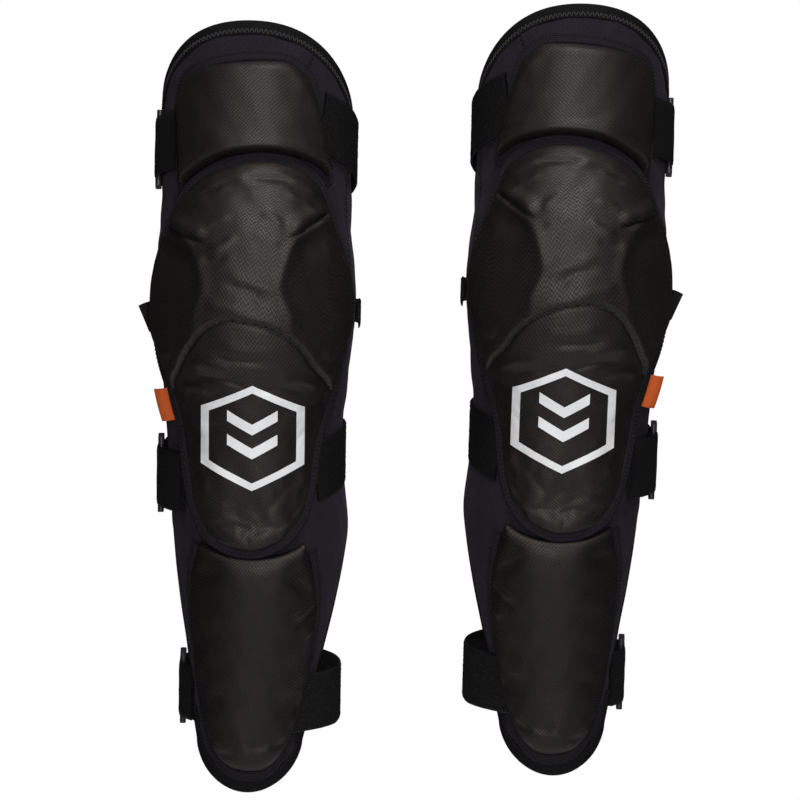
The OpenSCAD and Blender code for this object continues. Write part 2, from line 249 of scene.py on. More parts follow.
def make(side, name, shape, material, flat_shaded=False):
    """One Blender object from a shape, on that side."""
    points = placed(np.concatenate(shape.points), side)
    faces = np.concatenate(shape.faces)
    if PLACES[side]["mirror"] < 0:
        faces = faces[:, ::-1]
    mesh = bpy.data.meshes.new(f"{side}_{name}")
    mesh.vertices.add(len(points))
    mesh.vertices.foreach_set("co", points.astype(np.float32).ravel())
    mesh.loops.add(faces.size)
    mesh.loops.foreach_set("vertex_index", faces.astype(np.int32).ravel())
    mesh.polygons.add(len(faces))
    mesh.polygons.foreach_set("loop_start", np.arange(0, faces.size, 4, dtype=np.int32))
    mesh.update(calc_edges=True)
    mesh.validate()
    layer = mesh.uv_layers.new(name="weave")
    corner = np.zeros(len(mesh.loops), np.int32)
    mesh.loops.foreach_get("vertex_index", corner)
    uvs = np.concatenate(shape.uvs) * MM
    layer.data.foreach_set("uv", uvs[corner].astype(np.float32).ravel())
    mesh.polygons.foreach_set("use_smooth", [not flat_shaded] * len(mesh.polygons))
    mesh.materials.append(material)
    piece = bpy.data.objects.new(f"{side}_{name}", mesh)
    bpy.context.scene.collection.objects.link(piece)
    return piece


def closed_slab(shape, outer, inner, uv):
    """A grid with a second one behind it and a wall round the border."""
    rows, cols = outer.shape[:2]
    faces = grid_faces(rows, cols)
    shape.add(outer, faces, uv)
    start = shape.count
    shape.add(inner, faces[:, ::-1], uv)
    index = np.arange(rows * cols).reshape(rows, cols)
    ring = rim(index)
    after = np.roll(ring, -1)
    first = start - rows * cols
    shape.faces.append(np.stack([ring + first, ring + start, after + start, after + first],
                                axis=1))
    return shape


def across_of(points, normals, closed=False):
    """Unit vectors across a line, to its right seen from outside."""
    if closed:
        step = np.roll(points, -1, axis=0) - np.roll(points, 1, axis=0)
    else:
        step = np.gradient(points, axis=0)
    return unit(np.cross(unit(step), normals))


def sweep(shape, points, normals, section, closed=False, relief=None):
    """Carries a closed cross-section along a line. The section's points are (across, up).
    relief(along, across, up) moves each point up by what it returns."""
    section = np.asarray(section, float)
    across = across_of(points, normals, closed)
    along = run_of(points)
    up = np.broadcast_to(section[None, :, 1], (len(points), len(section))).copy()
    if relief:
        up = up + relief(along[:, None], section[None, :, 0], section[None, :, 1])
    grid = (points[:, None] + across[:, None] * section[None, :, :1]
            + normals[:, None] * up[..., None])
    uv = np.stack(np.broadcast_arrays(along[:, None], run_of(section)[None, :]), axis=-1)
    rows, cols = grid.shape[:2]
    if closed:
        faces = grid_faces(rows + 1, cols, wrap=True) % (rows * cols)
        return shape.add(grid, faces, uv)
    base = shape.count
    shape.add(grid, grid_faces(rows, cols, wrap=True), uv)
    for ring, order in ((0, 1), (rows - 1, -1)):
        hub = shape.count
        shape.add(grid[ring].mean(axis=0), np.zeros((0, 4), int), uv[ring, :1])
        index = [base + ring * cols + k % cols for k in range(cols + 1)]
        fan = [[hub, *index[k:k + 3]] for k in range(0, cols - 1, 2)]
        if cols % 2:
            fan.append([hub, index[-2], index[-1], index[-1]])
        shape.faces.append(np.array([face[::order] for face in fan]))
    return shape


def line_on(points, lift, step=2.0, closed=False):
    """Even points on the leg along closely spaced (angle, height) ones, and their normals."""
    count = max(8, int(length_of(flat(points)) / step))
    line = spaced(points, count + 1)[:-1] if closed else spaced(points, count)
    return on_leg(line, lift), outwards(line[:, 0])


def leg_line(points, lift, step=2.0, closed=False):
    """The same along a smooth line through a few points."""
    return line_on(curve([*points, points[0]] if closed else points, 200), lift, step, closed)


def rounded(half_width, bottom, top, corner=0.5, steps=3):
    """A flat tape's cross-section with round corners, as (across, up) points."""
    corner = min(corner, half_width, (top - bottom) / 2)
    turns = np.radians(np.linspace(0, 90, steps + 1))
    out = []
    for k, (sx, sy) in enumerate(((1, 1), (-1, 1), (-1, -1), (1, -1))):
        centre = np.array([sx * (half_width - corner),
                           top - corner if sy > 0 else bottom + corner])
        a = turns + k * math.pi / 2
        out.append(centre + corner * np.stack([np.cos(a), np.sin(a)], axis=1))
    return np.concatenate(out)


def tape(half_width, bottom, top, across_points):
    """A wide tape's cross-section with that many points over its outer face."""
    x = np.linspace(-half_width, half_width, across_points)
    edge = 0.35 * (top - bottom)
    outer = [(v, top) for v in x[::-1]]
    outer[0], outer[-1] = (half_width, top - edge), (-half_width, top - edge)
    inner = [(v, bottom) for v in x[::6]]
    inner[0], inner[-1] = (-half_width, bottom + edge), (half_width, bottom + edge)
    return np.array(outer + inner)


# A stitch's cross-sections: their places along it and their thickness.
STITCH_AT = np.array([0.0, 0.16, 0.5, 0.84, 1.0])
STITCH_TAPER = np.array([0.5, 0.95, 1.0, 0.95, 0.5])
THREAD_SIDES = 5


def stitches(shape, points, normals, pitch=3.0, share=0.74, thick=0.34, offset=0.0, zigzag=0.0,
             sink=0.35, rise=0.3):
    """Thread stitches along a line: each is a short tube that dips into the cloth at both ends.
    zigzag is how far they swing to each side."""
    across = across_of(points, normals)
    along = run_of(points)
    count = int(along[-1] / pitch)
    begins = np.arange(count) * pitch + pitch * (1 - share) / 2
    ends = begins + pitch * share
    swing = np.where(np.arange(count) % 2, zigzag, -zigzag)[:, None]
    a, b = (at_places(places, along, points) + at_places(places, along, across) * sideways
            for places, sideways in ((begins, offset - swing), (ends, offset + swing)))
    n = at_places((begins + ends) / 2, along, normals)
    height = np.array([-sink, 0.6 * rise, rise, 0.6 * rise, -sink])
    middle = (a[:, None] + (b - a)[:, None] * STITCH_AT[None, :, None]
              + n[:, None] * height[None, :, None])
    side = unit(np.cross(unit(b - a), n))
    turns = np.radians(np.arange(0, 360, 360 // THREAD_SIDES))
    ring = thick * (np.cos(turns)[:, None] * side[:, None, None]
                    + np.sin(turns)[:, None] * n[:, None, None])
    tube = middle[:, :, None] + ring * STITCH_TAPER[:, None, None]
    rings = len(STITCH_AT)
    one, size = grid_faces(rings, THREAD_SIDES, wrap=True), rings * THREAD_SIDES
    faces = (one[None] + np.arange(count)[:, None, None] * size).reshape(-1, 4)
    uv = np.zeros((count * size, 2))
    uv[:, 0] = np.tile(np.repeat(STITCH_AT, THREAD_SIDES), count) * pitch
    uv[:, 1] = np.tile(np.arange(THREAD_SIDES), count * rings) * 0.4
    return shape.add(tube, faces[:, ::-1], uv)


# ---- materials ----

def scaled(colour, factor):
    return tuple(c * factor for c in colour)


class Graph:
    """Short calls for building a material's nodes."""

    SOCKETS = {"colour": "Base Color", "rough": "Roughness", "normal": "Normal",
               "specular": "Specular IOR Level", "tint": "Specular Tint",
               "sheen": "Sheen Weight", "sheen_rough": "Sheen Roughness",
               "sheen_tint": "Sheen Tint", "coat": "Coat Weight", "coat_rough": "Coat Roughness"}

    def __init__(self, name):
        self.material = bpy.data.materials.new(name)
        self.material.use_nodes = True
        self.tree = self.material.node_tree
        self.tree.nodes.clear()
        self.shader = self.node("BsdfPrincipled")
        self.put(self.node("OutputMaterial").inputs[0], self.shader.outputs[0])

    def node(self, kind, **settings):
        made = self.tree.nodes.new("ShaderNode" + kind)
        for key, value in settings.items():
            setattr(made, key, value)
        return made

    def put(self, socket, value):
        """Links an output to a socket, or sets the socket to a number or a colour."""
        if isinstance(value, bpy.types.NodeSocket):
            self.tree.links.new(value, socket)
        else:
            socket.default_value = (*value, 1) if isinstance(value, tuple) else value

    def set(self, **values):
        for key, value in values.items():
            self.put(self.shader.inputs[self.SOCKETS[key]], value)

    def math(self, operation, *values):
        made = self.node("Math", operation=operation)
        for socket, value in zip(made.inputs, values):
            self.put(socket, value)
        return made.outputs[0]

    def total(self, a, share_a, b, share_b):
        """a and b added, each times its share."""
        return self.math("ADD", self.math("MULTIPLY", a, share_a),
                         self.math("MULTIPLY", b, share_b))

    def weave_mm(self):
        """The cloth's own coordinates in millimetres, as two numbers."""
        scale = self.node("VectorMath", operation="SCALE")
        scale.inputs["Scale"].default_value = 1 / MM
        self.put(scale.inputs[0], self.node("UVMap", uv_map="weave").outputs[0])
        split = self.node("SeparateXYZ")
        self.put(split.inputs[0], scale.outputs[0])
        return split.outputs[0], split.outputs[1]

    def wave(self, angle):
        """The sine of an angle in radians, moved to run from 0 to 1."""
        return self.math("MULTIPLY_ADD", self.math("SINE", angle), 0.5, 0.5)

    def ripple(self, value, pitch):
        return self.wave(self.math("MULTIPLY", value, 2 * math.pi / pitch))

    def slant(self, u, v, pitch):
        """The twill's slanting rows, which also show through the print."""
        lean = math.sin(WEAVE_LEAN), math.cos(WEAVE_LEAN)
        return self.ripple(self.total(u, lean[0], v, lean[1]), pitch)

    def noise(self, size_mm, detail=3.0, rough=0.55):
        made = self.node("TexNoise")
        made.inputs["Scale"].default_value = 1 / (size_mm * MM)
        made.inputs["Detail"].default_value = detail
        made.inputs["Roughness"].default_value = rough
        self.put(made.inputs["Vector"], self.node("TexCoord").outputs["Object"])
        return made.outputs["Fac"]

    def colours(self, factor, stops):
        ramp = self.node("ValToRGB")
        while len(ramp.color_ramp.elements) < len(stops):
            ramp.color_ramp.elements.new(0.5)
        for element, (at, colour) in zip(ramp.color_ramp.elements, stops):
            element.position = at
            element.color = (*colour, 1)
        self.put(ramp.inputs[0], factor)
        return ramp.outputs[0]

    def shades(self, factor, base, *stops):
        """A ramp of one colour, each stop a place and a multiple of that colour."""
        return self.colours(factor, [(at, scaled(base, times)) for at, times in stops])

    def mix(self, factor, a, b, blend="MULTIPLY"):
        made = self.node("Mix", data_type="RGBA", blend_type=blend)
        for index, value in ((0, factor), (6, a), (7, b)):
            self.put(made.inputs[index], value)
        return made.outputs[2]

    def bump(self, height, distance_mm, strength=1.0, before=None):
        made = self.node("Bump")
        made.inputs["Strength"].default_value = strength
        made.inputs["Distance"].default_value = distance_mm * MM
        self.put(made.inputs["Height"], height)
        if before:
            self.put(made.inputs["Normal"], before)
        self.set(normal=made.outputs[0])
        return made.outputs[0]

    def between(self, factor, low, high):
        """low where the factor is 0, high where it is 1."""
        made = self.node("MapRange")
        made.inputs["To Min"].default_value = low
        made.inputs["To Max"].default_value = high
        self.put(made.inputs["Value"], factor)
        return made.outputs[0]


WEAVE_LEAN = math.radians(50)


def twill(name, base, gloss, pitch=1.65):
    """A fine weave seen as diagonal rows of small raised floats, worn lighter in places."""
    g = Graph(name)
    u, v = g.weave_mm()
    rib = g.slant(u, v, pitch)
    yarn = g.ripple(g.total(u, math.cos(WEAVE_LEAN), v, -math.sin(WEAVE_LEAN)), 1.05 * pitch)
    height = g.total(g.total(rib, 0.5, yarn, 0.5), 0.45, g.noise(0.8, 4, 0.65), 0.55)
    cloth = g.shades(height, base, (0.32, 0.15), (0.5, 1), (0.68, 3.6))
    wear = g.colours(g.noise(38, 4), [(0.32, (0.84, 0.84, 0.85)), (0.68, (1.16, 1.15, 1.13))])
    fleck = g.colours(g.noise(0.9, 2), [(0.35, (0.86, 0.86, 0.86)), (0.68, (1.2, 1.19, 1.17))])
    g.set(colour=g.mix(1.0, g.mix(1.0, cloth, wear), fleck), specular=gloss,
          tint=(1.0, 0.92, 0.87), rough=g.between(height, 0.78, 0.26))
    g.bump(height, 0.2, 1.0, g.bump(g.noise(9, 3), 0.3, 0.4))
    return g.material


def knit(name, base):
    """Brushed stretch knit over neoprene: a soft, slightly mottled pile."""
    g = Graph(name)
    u, v = g.weave_mm()
    loops = g.math("MULTIPLY", g.ripple(u, 0.8), g.ripple(v, 0.6))
    pile = g.noise(1.1, 4, 0.7)
    height = g.total(loops, 0.35, pile, 0.65)
    cloth = g.shades(height, base, (0.25, 0.45), (0.5, 1), (0.72, 1.9))
    patches = g.colours(g.noise(30, 3), [(0.3, (0.88, 0.87, 0.9)), (0.7, (1.12, 1.12, 1.12))])
    g.set(colour=g.mix(1.0, cloth, patches), specular=0.1, sheen=0.03, sheen_rough=0.5,
          sheen_tint=(0.8, 0.72, 1.0), rough=g.between(pile, 0.95, 0.8))
    g.bump(height, 0.25, 0.7, g.bump(g.noise(14, 3), 0.6, 0.5))
    return g.material


def webbing(name, base, rib, step, fuzz, depth=0.3, shine=0.2, spread=1.0):
    """Woven strap: ribs along its length crossed by picks, with more or less nap on top.
    Every other rib's picks are half a step on. spread is how far light and dark stand apart."""
    g = Graph(name)
    u, v = g.weave_mm()
    row = g.math("ROUND", g.math("DIVIDE", v, rib))
    picks = g.wave(g.total(u, 2 * math.pi / step, row, math.pi))
    woven = g.math("MULTIPLY", g.ripple(v, rib), g.math("MULTIPLY_ADD", picks, 0.7, 0.3))
    height = g.total(woven, 1 - fuzz, g.noise(1.4, 3, 0.65), fuzz)
    reach = 0.25 - 0.13 * fuzz
    g.set(colour=g.shades(height, base, (0.5 - reach, 0.2**spread), (0.5, 1),
                          (0.5 + reach, 3.6**spread)),
          specular=shine, rough=g.between(height, 0.95, 0.45))
    g.bump(height, depth, 0.9)
    return g.material


def plain_tape(name, base):
    """Soft folded binding tape with a fine rib along it."""
    g = Graph(name)
    u, v = g.weave_mm()
    ribs = g.math("MULTIPLY", g.ripple(v, 1.1), g.math("MULTIPLY_ADD", g.ripple(u, 0.8), 0.4, 0.6))
    pile = g.noise(0.8, 4, 0.7)
    height = g.total(ribs, 0.5, pile, 0.5)
    g.set(colour=g.shades(height, base, (0.25, 0.3), (0.5, 1), (0.75, 2.6)), specular=0.16,
          rough=g.between(pile, 0.92, 0.75))
    g.bump(height, 0.22, 0.8)
    return g.material


def thread(name, base):
    """Twisted thread: its plies lie slantwise."""
    g = Graph(name)
    u, v = g.weave_mm()
    plies = g.ripple(g.total(u, 1.0, v, 0.8), 0.45)
    g.set(colour=g.shades(plies, base, (0.1, 0.5), (0.9, 1.4)), rough=0.6, specular=0.3,
          sheen=0.03)
    g.bump(plies, 0.08, 0.8)
    return g.material


def moulded(name, base):
    """Injection-moulded plastic: faint sink and flow marks, duller where it has been rubbed."""
    g = Graph(name)
    rubbed = g.noise(2.5, 4, 0.6)
    g.set(colour=g.shades(rubbed, base, (0.3, 0.8), (0.7, 1.25)), specular=0.5, coat=0.15,
          coat_rough=0.3, rough=g.between(rubbed, 0.24, 0.45))
    g.bump(g.noise(0.35, 2, 0.5), 0.03, 0.6, g.bump(g.noise(5, 2), 0.12, 0.5))
    return g.material


def print_film(name, base):
    """Screen-printed film that lets the weave below show faintly."""
    g = Graph(name)
    rib = g.slant(*g.weave_mm(), 1.25)
    cloud = g.noise(20, 4)
    ink = g.shades(cloud, base, (0.3, 0.88), (0.7, 1))
    ribs = g.colours(rib, [(0.1, (0.6, 0.6, 0.6)), (0.7, base)])
    g.set(colour=g.mix(0.1, ink, ribs, "MIX"), specular=0.45, coat=0.1, coat_rough=0.35,
          rough=g.between(cloud, 0.42, 0.6))
    g.bump(rib, 0.06, 0.5, g.bump(g.noise(6, 3), 0.25, 0.5))
    return g.material


def silicone(name, base):
    """Soft rubbery print with a cloudy face."""
    g = Graph(name)
    cloud = g.noise(3, 3)
    g.set(colour=g.shades(cloud, base, (0.3, 0.8), (0.7, 1.2)), specular=0.5, sheen=0.05,
          rough=g.between(cloud, 0.35, 0.55))
    g.bump(cloud, 0.1, 0.5)
    return g.material


MATERIALS = {
    "knit": knit("stretch_knit", (0.0158, 0.0130, 0.0196)),
    "hem": plain_tape("hem_tape", (0.0023, 0.0022, 0.0024)),
    "binding": plain_tape("binding_tape", (0.0086, 0.0072, 0.0110)),
    "pad": twill("pad_twill", (0.0047, 0.0039, 0.0037), gloss=0.34),
    # The shin's twill is the pad's twill made darker: painted shade for the shin pad, which faces
    # down and away from the key light.
    "shin": twill("shin_twill", (0.0031, 0.0026, 0.0025), gloss=0.3),
    "pile": webbing("loop_pile", (0.0020, 0.0020, 0.0022), rib=1.9, step=1.6, fuzz=0.85,
                    depth=0.6, spread=1.3),
    "web": webbing("buckle_web", (0.0022, 0.0021, 0.0021), rib=1.6, step=1.0, fuzz=0.15),
    "thread": thread("dark_thread", (0.0034, 0.0032, 0.0040)),
    "light_thread": thread("hem_thread", (0.042, 0.041, 0.039)),
    "white": print_film("white_print", (0.78, 0.80, 0.82)),
    "orange": webbing("label_weave", (0.52, 0.088, 0.013), rib=0.6, step=0.6, fuzz=0.1,
                      depth=0.08, shine=0.3, spread=0.15),
    "plastic": moulded("buckle_plastic", (0.018, 0.018, 0.020)),
    "grip": silicone("grip_silicone", (0.030, 0.030, 0.034)),
}

# ---- pieces above and below the knee, baked where they are made ----


def bend_upper(piece, side):
    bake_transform(piece)


def bend_lower(piece, side):
    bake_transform(piece)


# ---- the sleeve ----

# The top edge stands HEM_RISE above HEM_LEVEL at the front and HEM_DROP below it at the back,
# and its highest point is HEM_TURN degrees off the middle.
HEM_LEVEL, HEM_RISE, HEM_DROP, HEM_TURN = 122.0, 50.1, 23.4, 4.0


def hem_height(phi):
    """Height of the sleeve's top edge, a little flattened over the front."""
    c = np.cos(np.radians(np.asarray(phi, float) + HEM_TURN))
    return HEM_LEVEL + np.where(c > 0, HEM_RISE * (c - 0.075 * c**6), HEM_DROP * c)


# The sleeve's free edges on the inner side, upwards and downwards from the knee.
UPPER_EDGE = [(95, 0), (98, 18), (105, 38), (117, 56), (127, 72), (126, 92)]
LOWER_EDGE = [(95, 0), (101, -22), (103, -45), (103, -85), (99, -120), (91, -150), (86, -190),
              (81, -225), (79, -250), (74, -268)]
TONGUE_R = 34.0
TONGUE_Z = -284.0
TONGUE_STOP = 45.0


def mirrored(line):
    return [(-p[0], p[1]) for p in line]


def tongue_point(a):
    """A point on the tongue's round end, a degrees from its lowest point."""
    x = TONGUE_R * math.sin(math.radians(a))
    s = TONGUE_Z - TONGUE_R * math.cos(math.radians(a))
    r = float(leg_radius(s))
    return (math.degrees(math.asin(min(1, x / r))), s)


def sleeve_grids():
    """The upper and lower parts' grids, and the lines of their free edges on the inner side."""
    side = UPPER_EDGE + [(125.5, float(hem_height(126)))]
    over = [(p, float(hem_height(p))) for p in np.linspace(-125.5, 125.5, 21)]
    under = [(p, 0.0) for p in np.linspace(-95, 95, 9)]
    upper = patch(mirrored(side[:-1]) + [over[0]], side[:-1] + [over[-1]], under, over, 110, 64)
    tip = [tongue_point(a) for a in np.linspace(-TONGUE_STOP, TONGUE_STOP, 9)]
    down = LOWER_EDGE + [tongue_point(a) for a in (85, 65)] + [tip[-1]]
    lower = patch(mirrored(down[::-1]), down[::-1], tip, under, 96, 150)
    return upper, lower, side


PUCKER_WAVES, PUCKER_SIZE = 9, 17.0


def puckers(grid, amount):
    """Soft, slow waves in cloth, the same on every run."""
    f = flat(grid)
    rng = np.random.default_rng(SEED)
    waves = np.zeros(grid.shape[:-1])
    for _ in range(PUCKER_WAVES):
        turn, phase = rng.uniform(0, math.pi), rng.uniform(0, 2 * math.pi)
        wide = PUCKER_SIZE * rng.uniform(0.8, 2.6)
        waves += np.sin((f[..., 0] * math.cos(turn) + f[..., 1] * math.sin(turn)) / wide * 2
                        * math.pi + phase)
    return waves / PUCKER_WAVES * amount


UPPER_GRID, LOWER_GRID, UPPER_SIDE = sleeve_grids()


def sleeve_shape(grid):
    return closed_slab(Shape(), on_leg(grid, puckers(grid, 1.3)), on_leg(grid, -SLEEVE_WALL),
                       flat(grid))


def edge_binding(points, half=3.2, proud=0.45):
    """A tape folded over the sleeve's free edge."""
    line, normals = leg_line(points, 0.0)
    section = rounded(half, -SLEEVE_WALL - proud, proud, 1.6, 4)
    return sweep(Shape(), line, normals, section)


def top_hem():
    points = [(p, float(hem_height(p)) - 4.2) for p in np.linspace(-126, 126, 40)]
    line, normals = leg_line(points, 0.0)
    section = rounded(5.0, -SLEEVE_WALL - 0.3, 0.9, 1.7, 5)
    return sweep(Shape(), line, normals, section), line, normals


def gripper():
    """A silicone strip with a raised wave, inside the top hem."""
    points = [(p, float(hem_height(p)) - 12.0) for p in np.linspace(-112, 112, 40)]
    line, normals = leg_line(points, -SLEEVE_WALL - 0.4)
    shape = sweep(Shape(), line, -normals, rounded(4.2, 0.0, 0.5, 0.2, 2))
    along = np.linspace(0, 1, len(line))
    waves = 34
    wave = line + across_of(line, -normals) * (2.2 * np.sin(along * 2 * math.pi * waves))[:, None]
    fine, fine_normals = (spaced(rows, 3 * len(line)) for rows in (wave, -normals))
    return sweep(shape, fine, fine_normals, rounded(0.8, 0.3, 1.1, 0.35, 2))


# ---- pads ----

# A pad's border stands EDGE_LIFT off the sleeve and its back face BACK_LIFT.
EDGE_LIFT, BACK_LIFT = 0.5, 0.25
CROWN_POWER = 2.3
PAD_RADIUS = 65


def crown(distance, width, edge):
    """How much of its full height a pad has, that far from its border."""
    t = np.clip(distance / width, 0, 1)
    return edge + (1 - edge) * (1 - (1 - t) ** CROWN_POWER) ** (1 / CROWN_POWER)


def bulge(height, shift, phi):
    """Height over the sleeve of a round pad whose middle is shift in front of the leg's."""
    a = np.radians(phi)
    return height - shift * (1 - np.cos(a)) - shift**2 * np.sin(a) ** 2 / (2 * PAD_RADIUS)


def border_distance(grid):
    border = flat(rim(grid))
    line = np.vstack([border, border[:1]])
    return off_line(flat(grid), line[:: 2 if len(line) > 400 else 1])[0]


SETTLE_FRAMES = 20


def relax(points, pinned, pressure, grow, cap):
    """Runs a cloth simulation on a grid of points and returns how far each one moved, cap
    millimetres at most. The cloth is cut larger than its outline by the share grow, so it
    swells and puckers."""
    rows, cols = points.shape[:2]
    mesh = bpy.data.meshes.new("relaxing")
    mesh.from_pydata((points.reshape(-1, 3) * MM).tolist(), [], grid_faces(rows, cols).tolist())
    sheet = bpy.data.objects.new("relaxing", mesh)
    bpy.context.scene.collection.objects.link(sheet)
    group = sheet.vertex_groups.new(name="held")
    group.add(np.flatnonzero(pinned.ravel()).tolist(), 1.0, "REPLACE")
    cloth = sheet.modifiers.new("Cloth", "CLOTH").settings
    cloth.quality, cloth.mass = 6, 0.25
    cloth.tension_stiffness = cloth.compression_stiffness = 18
    cloth.shear_stiffness, cloth.bending_stiffness = 8, 0.6
    cloth.vertex_group_mass = "held"
    cloth.use_pressure, cloth.uniform_pressure_force = True, pressure
    cloth.shrink_min = cloth.shrink_max = -grow
    cloth.effector_weights.gravity = 0
    scene = bpy.context.scene
    scene.frame_start, scene.frame_end = 1, SETTLE_FRAMES
    for step in range(1, SETTLE_FRAMES + 1):
        scene.frame_set(step)
    settled = sheet.evaluated_get(bpy.context.evaluated_depsgraph_get()).to_mesh()
    after = np.zeros(rows * cols * 3, np.float32)
    settled.vertices.foreach_get("co", after)
    moved = after.reshape(rows, cols, 3) / MM - points
    scene.frame_set(1)
    bpy.data.objects.remove(sheet)
    bpy.data.meshes.remove(mesh)
    for _ in range(2):
        inner = (moved[1:-1, 1:-1] * 2 + moved[:-2, 1:-1] + moved[2:, 1:-1]
                 + moved[1:-1, :-2] + moved[1:-1, 2:]) / 6
        moved[1:-1, 1:-1] = inner
    far = np.linalg.norm(moved, axis=-1, keepdims=True)
    return moved * np.minimum(1, cap / np.maximum(far, 1e-6))


def finer(grid):
    """The same grid with a point added between each two of its own."""
    def along(values):
        n = len(values)
        at = np.linspace(0, n - 1, 2 * n - 1)
        low = np.minimum(at.astype(int), n - 2)
        t = (at - low).reshape(-1, *([1] * (values.ndim - 1)))
        before, after = np.maximum(low - 1, 0), np.minimum(low + 2, n - 1)
        return joined(values[before], values[low], values[low + 1], values[after], t)
    return np.swapaxes(along(np.swapaxes(along(grid), 0, 1)), 0, 1)


def pad_sheet(grid, lift_of, details, pressure, grow, cap):
    """The outer cloth of a pad: its crowned shape, what the simulation adds, then its seams."""
    coarse = on_leg(grid, lift_of(grid))
    fine = finer(grid)
    points = on_leg(fine, lift_of(fine))
    pinned = np.ones(grid.shape[:2], bool)
    pinned[2:-2, 2:-2] = False
    points = points + finer(relax(coarse, pinned, pressure, grow, cap))
    points = points + outwards(fine[..., 0]) * details(fine)[..., None]
    return fine, points


def weave_places(points):
    """Each point's place on the unrolled cloth, measured along the grid's rows and columns."""
    across = np.linalg.norm(np.diff(points, axis=1, prepend=points[:, :1]), axis=-1).cumsum(axis=1)
    up = np.linalg.norm(np.diff(points, axis=0, prepend=points[:1]), axis=-1).cumsum(axis=0)
    middle = points.shape[1] // 2
    return np.stack([across - across[:, middle:middle + 1], up], axis=-1)


# Sides of each pad as (angle, height): left and right run upwards, the others to the right.
THIGH_PAD = {
    "left": [(-47.5, 64), (-49, 80), (-51.5, 100), (-51.5, 118), (-47.5, 131)],
    "right": [(49, 72), (46.5, 84), (42.5, 101), (38, 116), (32, 132)],
    "bottom": [(-47.5, 64), (-41, 68.5), (-33, 73), (-17, 79.5), (-3, 82), (10, 82.5), (24, 81),
               (38, 77.5), (49, 72)],
    "top": [(-47.5, 131), (-40, 135.5), (-21, 140), (5, 142), (20, 141), (32, 132)],
}
KNEE_PAD = {
    "left": [(-33, -144), (-42, -126), (-47, -99), (-51, -74), (-58, -57), (-66, -46),
             (-76, -30), (-80, -12), (-76, 6), (-66, 26), (-56, 39)],
    "right": [(17, -145), (29, -132), (37.5, -112), (42, -89), (48, -70), (54, -53), (60, -28),
              (65, -10), (65, 4), (59, 22), (53, 36), (48, 49)],
    "bottom": [(-33, -144), (-21, -151), (-8, -154), (2, -153), (17, -145)],
    "top": [(-56, 39), (-49.4, 50), (-40, 60.5), (-26.6, 69.5), (-8.7, 75.5), (8.5, 77.4),
            (26.7, 74), (40, 64.5), (48, 49)],
}
SHIN_PAD = {
    "left": [(-34, -291), (-44, -275), (-53, -248), (-55, -213), (-51.5, -181), (-40, -151.5)],
    "right": [(37, -286), (48, -267), (52.5, -239), (49.5, -208), (45, -187), (31, -150)],
    "bottom": [(-34, -291), (-22, -300), (-8, -304), (10, -304.5), (24, -299), (37, -286)],
    "top": [(-40, -151.5), (-31, -154), (-20, -157), (-5, -158.5), (9, -157.5), (21, -154.5),
            (31, -150)],
}


def pad_grid(sides, cols, rows):
    return patch(sides["left"], sides["right"], sides["bottom"], sides["top"], cols, rows)


def outline(sides):
    return (sides["bottom"][:-1] + sides["right"][:-1] + sides["top"][:0:-1]
            + sides["left"][:0:-1])


def side_distance(grid, line):
    return off_line(flat(grid), flat(curve(line, 60)))[0]


def thigh_lift(grid):
    """The pad is soft at three sides and ends in a steep rolled lip at the bottom."""
    high = bulge(11.0, 9.0, grid[..., 0] - 4)
    others = np.minimum.reduce([side_distance(grid, THIGH_PAD[k])
                                for k in ("left", "right", "top")])
    lip = side_distance(grid, THIGH_PAD["bottom"])
    return EDGE_LIFT + high * np.minimum(crown(others, 9.0, 0.14), crown(lip, 3.6, 0.1))


def thigh_details(grid):
    away = side_distance(grid, THIGH_PAD["bottom"])
    roll = 0.7 * bell(away - 4.5, 3.4)
    return roll + folds(grid, THIGH_FOLDS) + puckers(grid, 0.8)


KNEE_HEIGHTS = smooth_table([
    (-175, 5), (-162, 5.6), (-150, 7), (-130, 8.8), (-105, 10.2), (-80, 11.8), (-60, 13.4),
    (-45, 15.0), (-26, 17.6), (-11, 18.8), (1, 18.4), (15, 18.2), (30, 16.7), (51, 12.4),
    (64, 8.6), (78, 3.5),
], 14)
KNEE_SHIFT = smooth_table([(-60, 19.5), (-20, 14)], 16)
ARCH = [(-60, -56), (-46, -43), (-34.5, -28.5), (-27, -19.5), (-21.5, -14.4), (-16, -11.6),
        (-9.6, -10.6), (2.9, -12.2), (11, -14.8), (18.5, -19), (25, -25), (30.5, -32),
        (43, -43.5), (56, -55)]
LEFT_DART = [(-57, 40), (-45, 33.5), (-35.5, 29), (-27.4, 25.5), (-21, 23.5)]
RIGHT_DART = [(49, 50), (42, 45), (36.5, 41), (29, 35), (22, 29.5), (16.5, 26.5)]
LEFT_RIDGE = [(-36, 30), (-29, 20), (-24, 10), (-23, 2), (-27, -8)]
RIGHT_RIDGE = [(23, 30), (17.5, 20), (14, 10), (13.5, 2), (18, -8)]
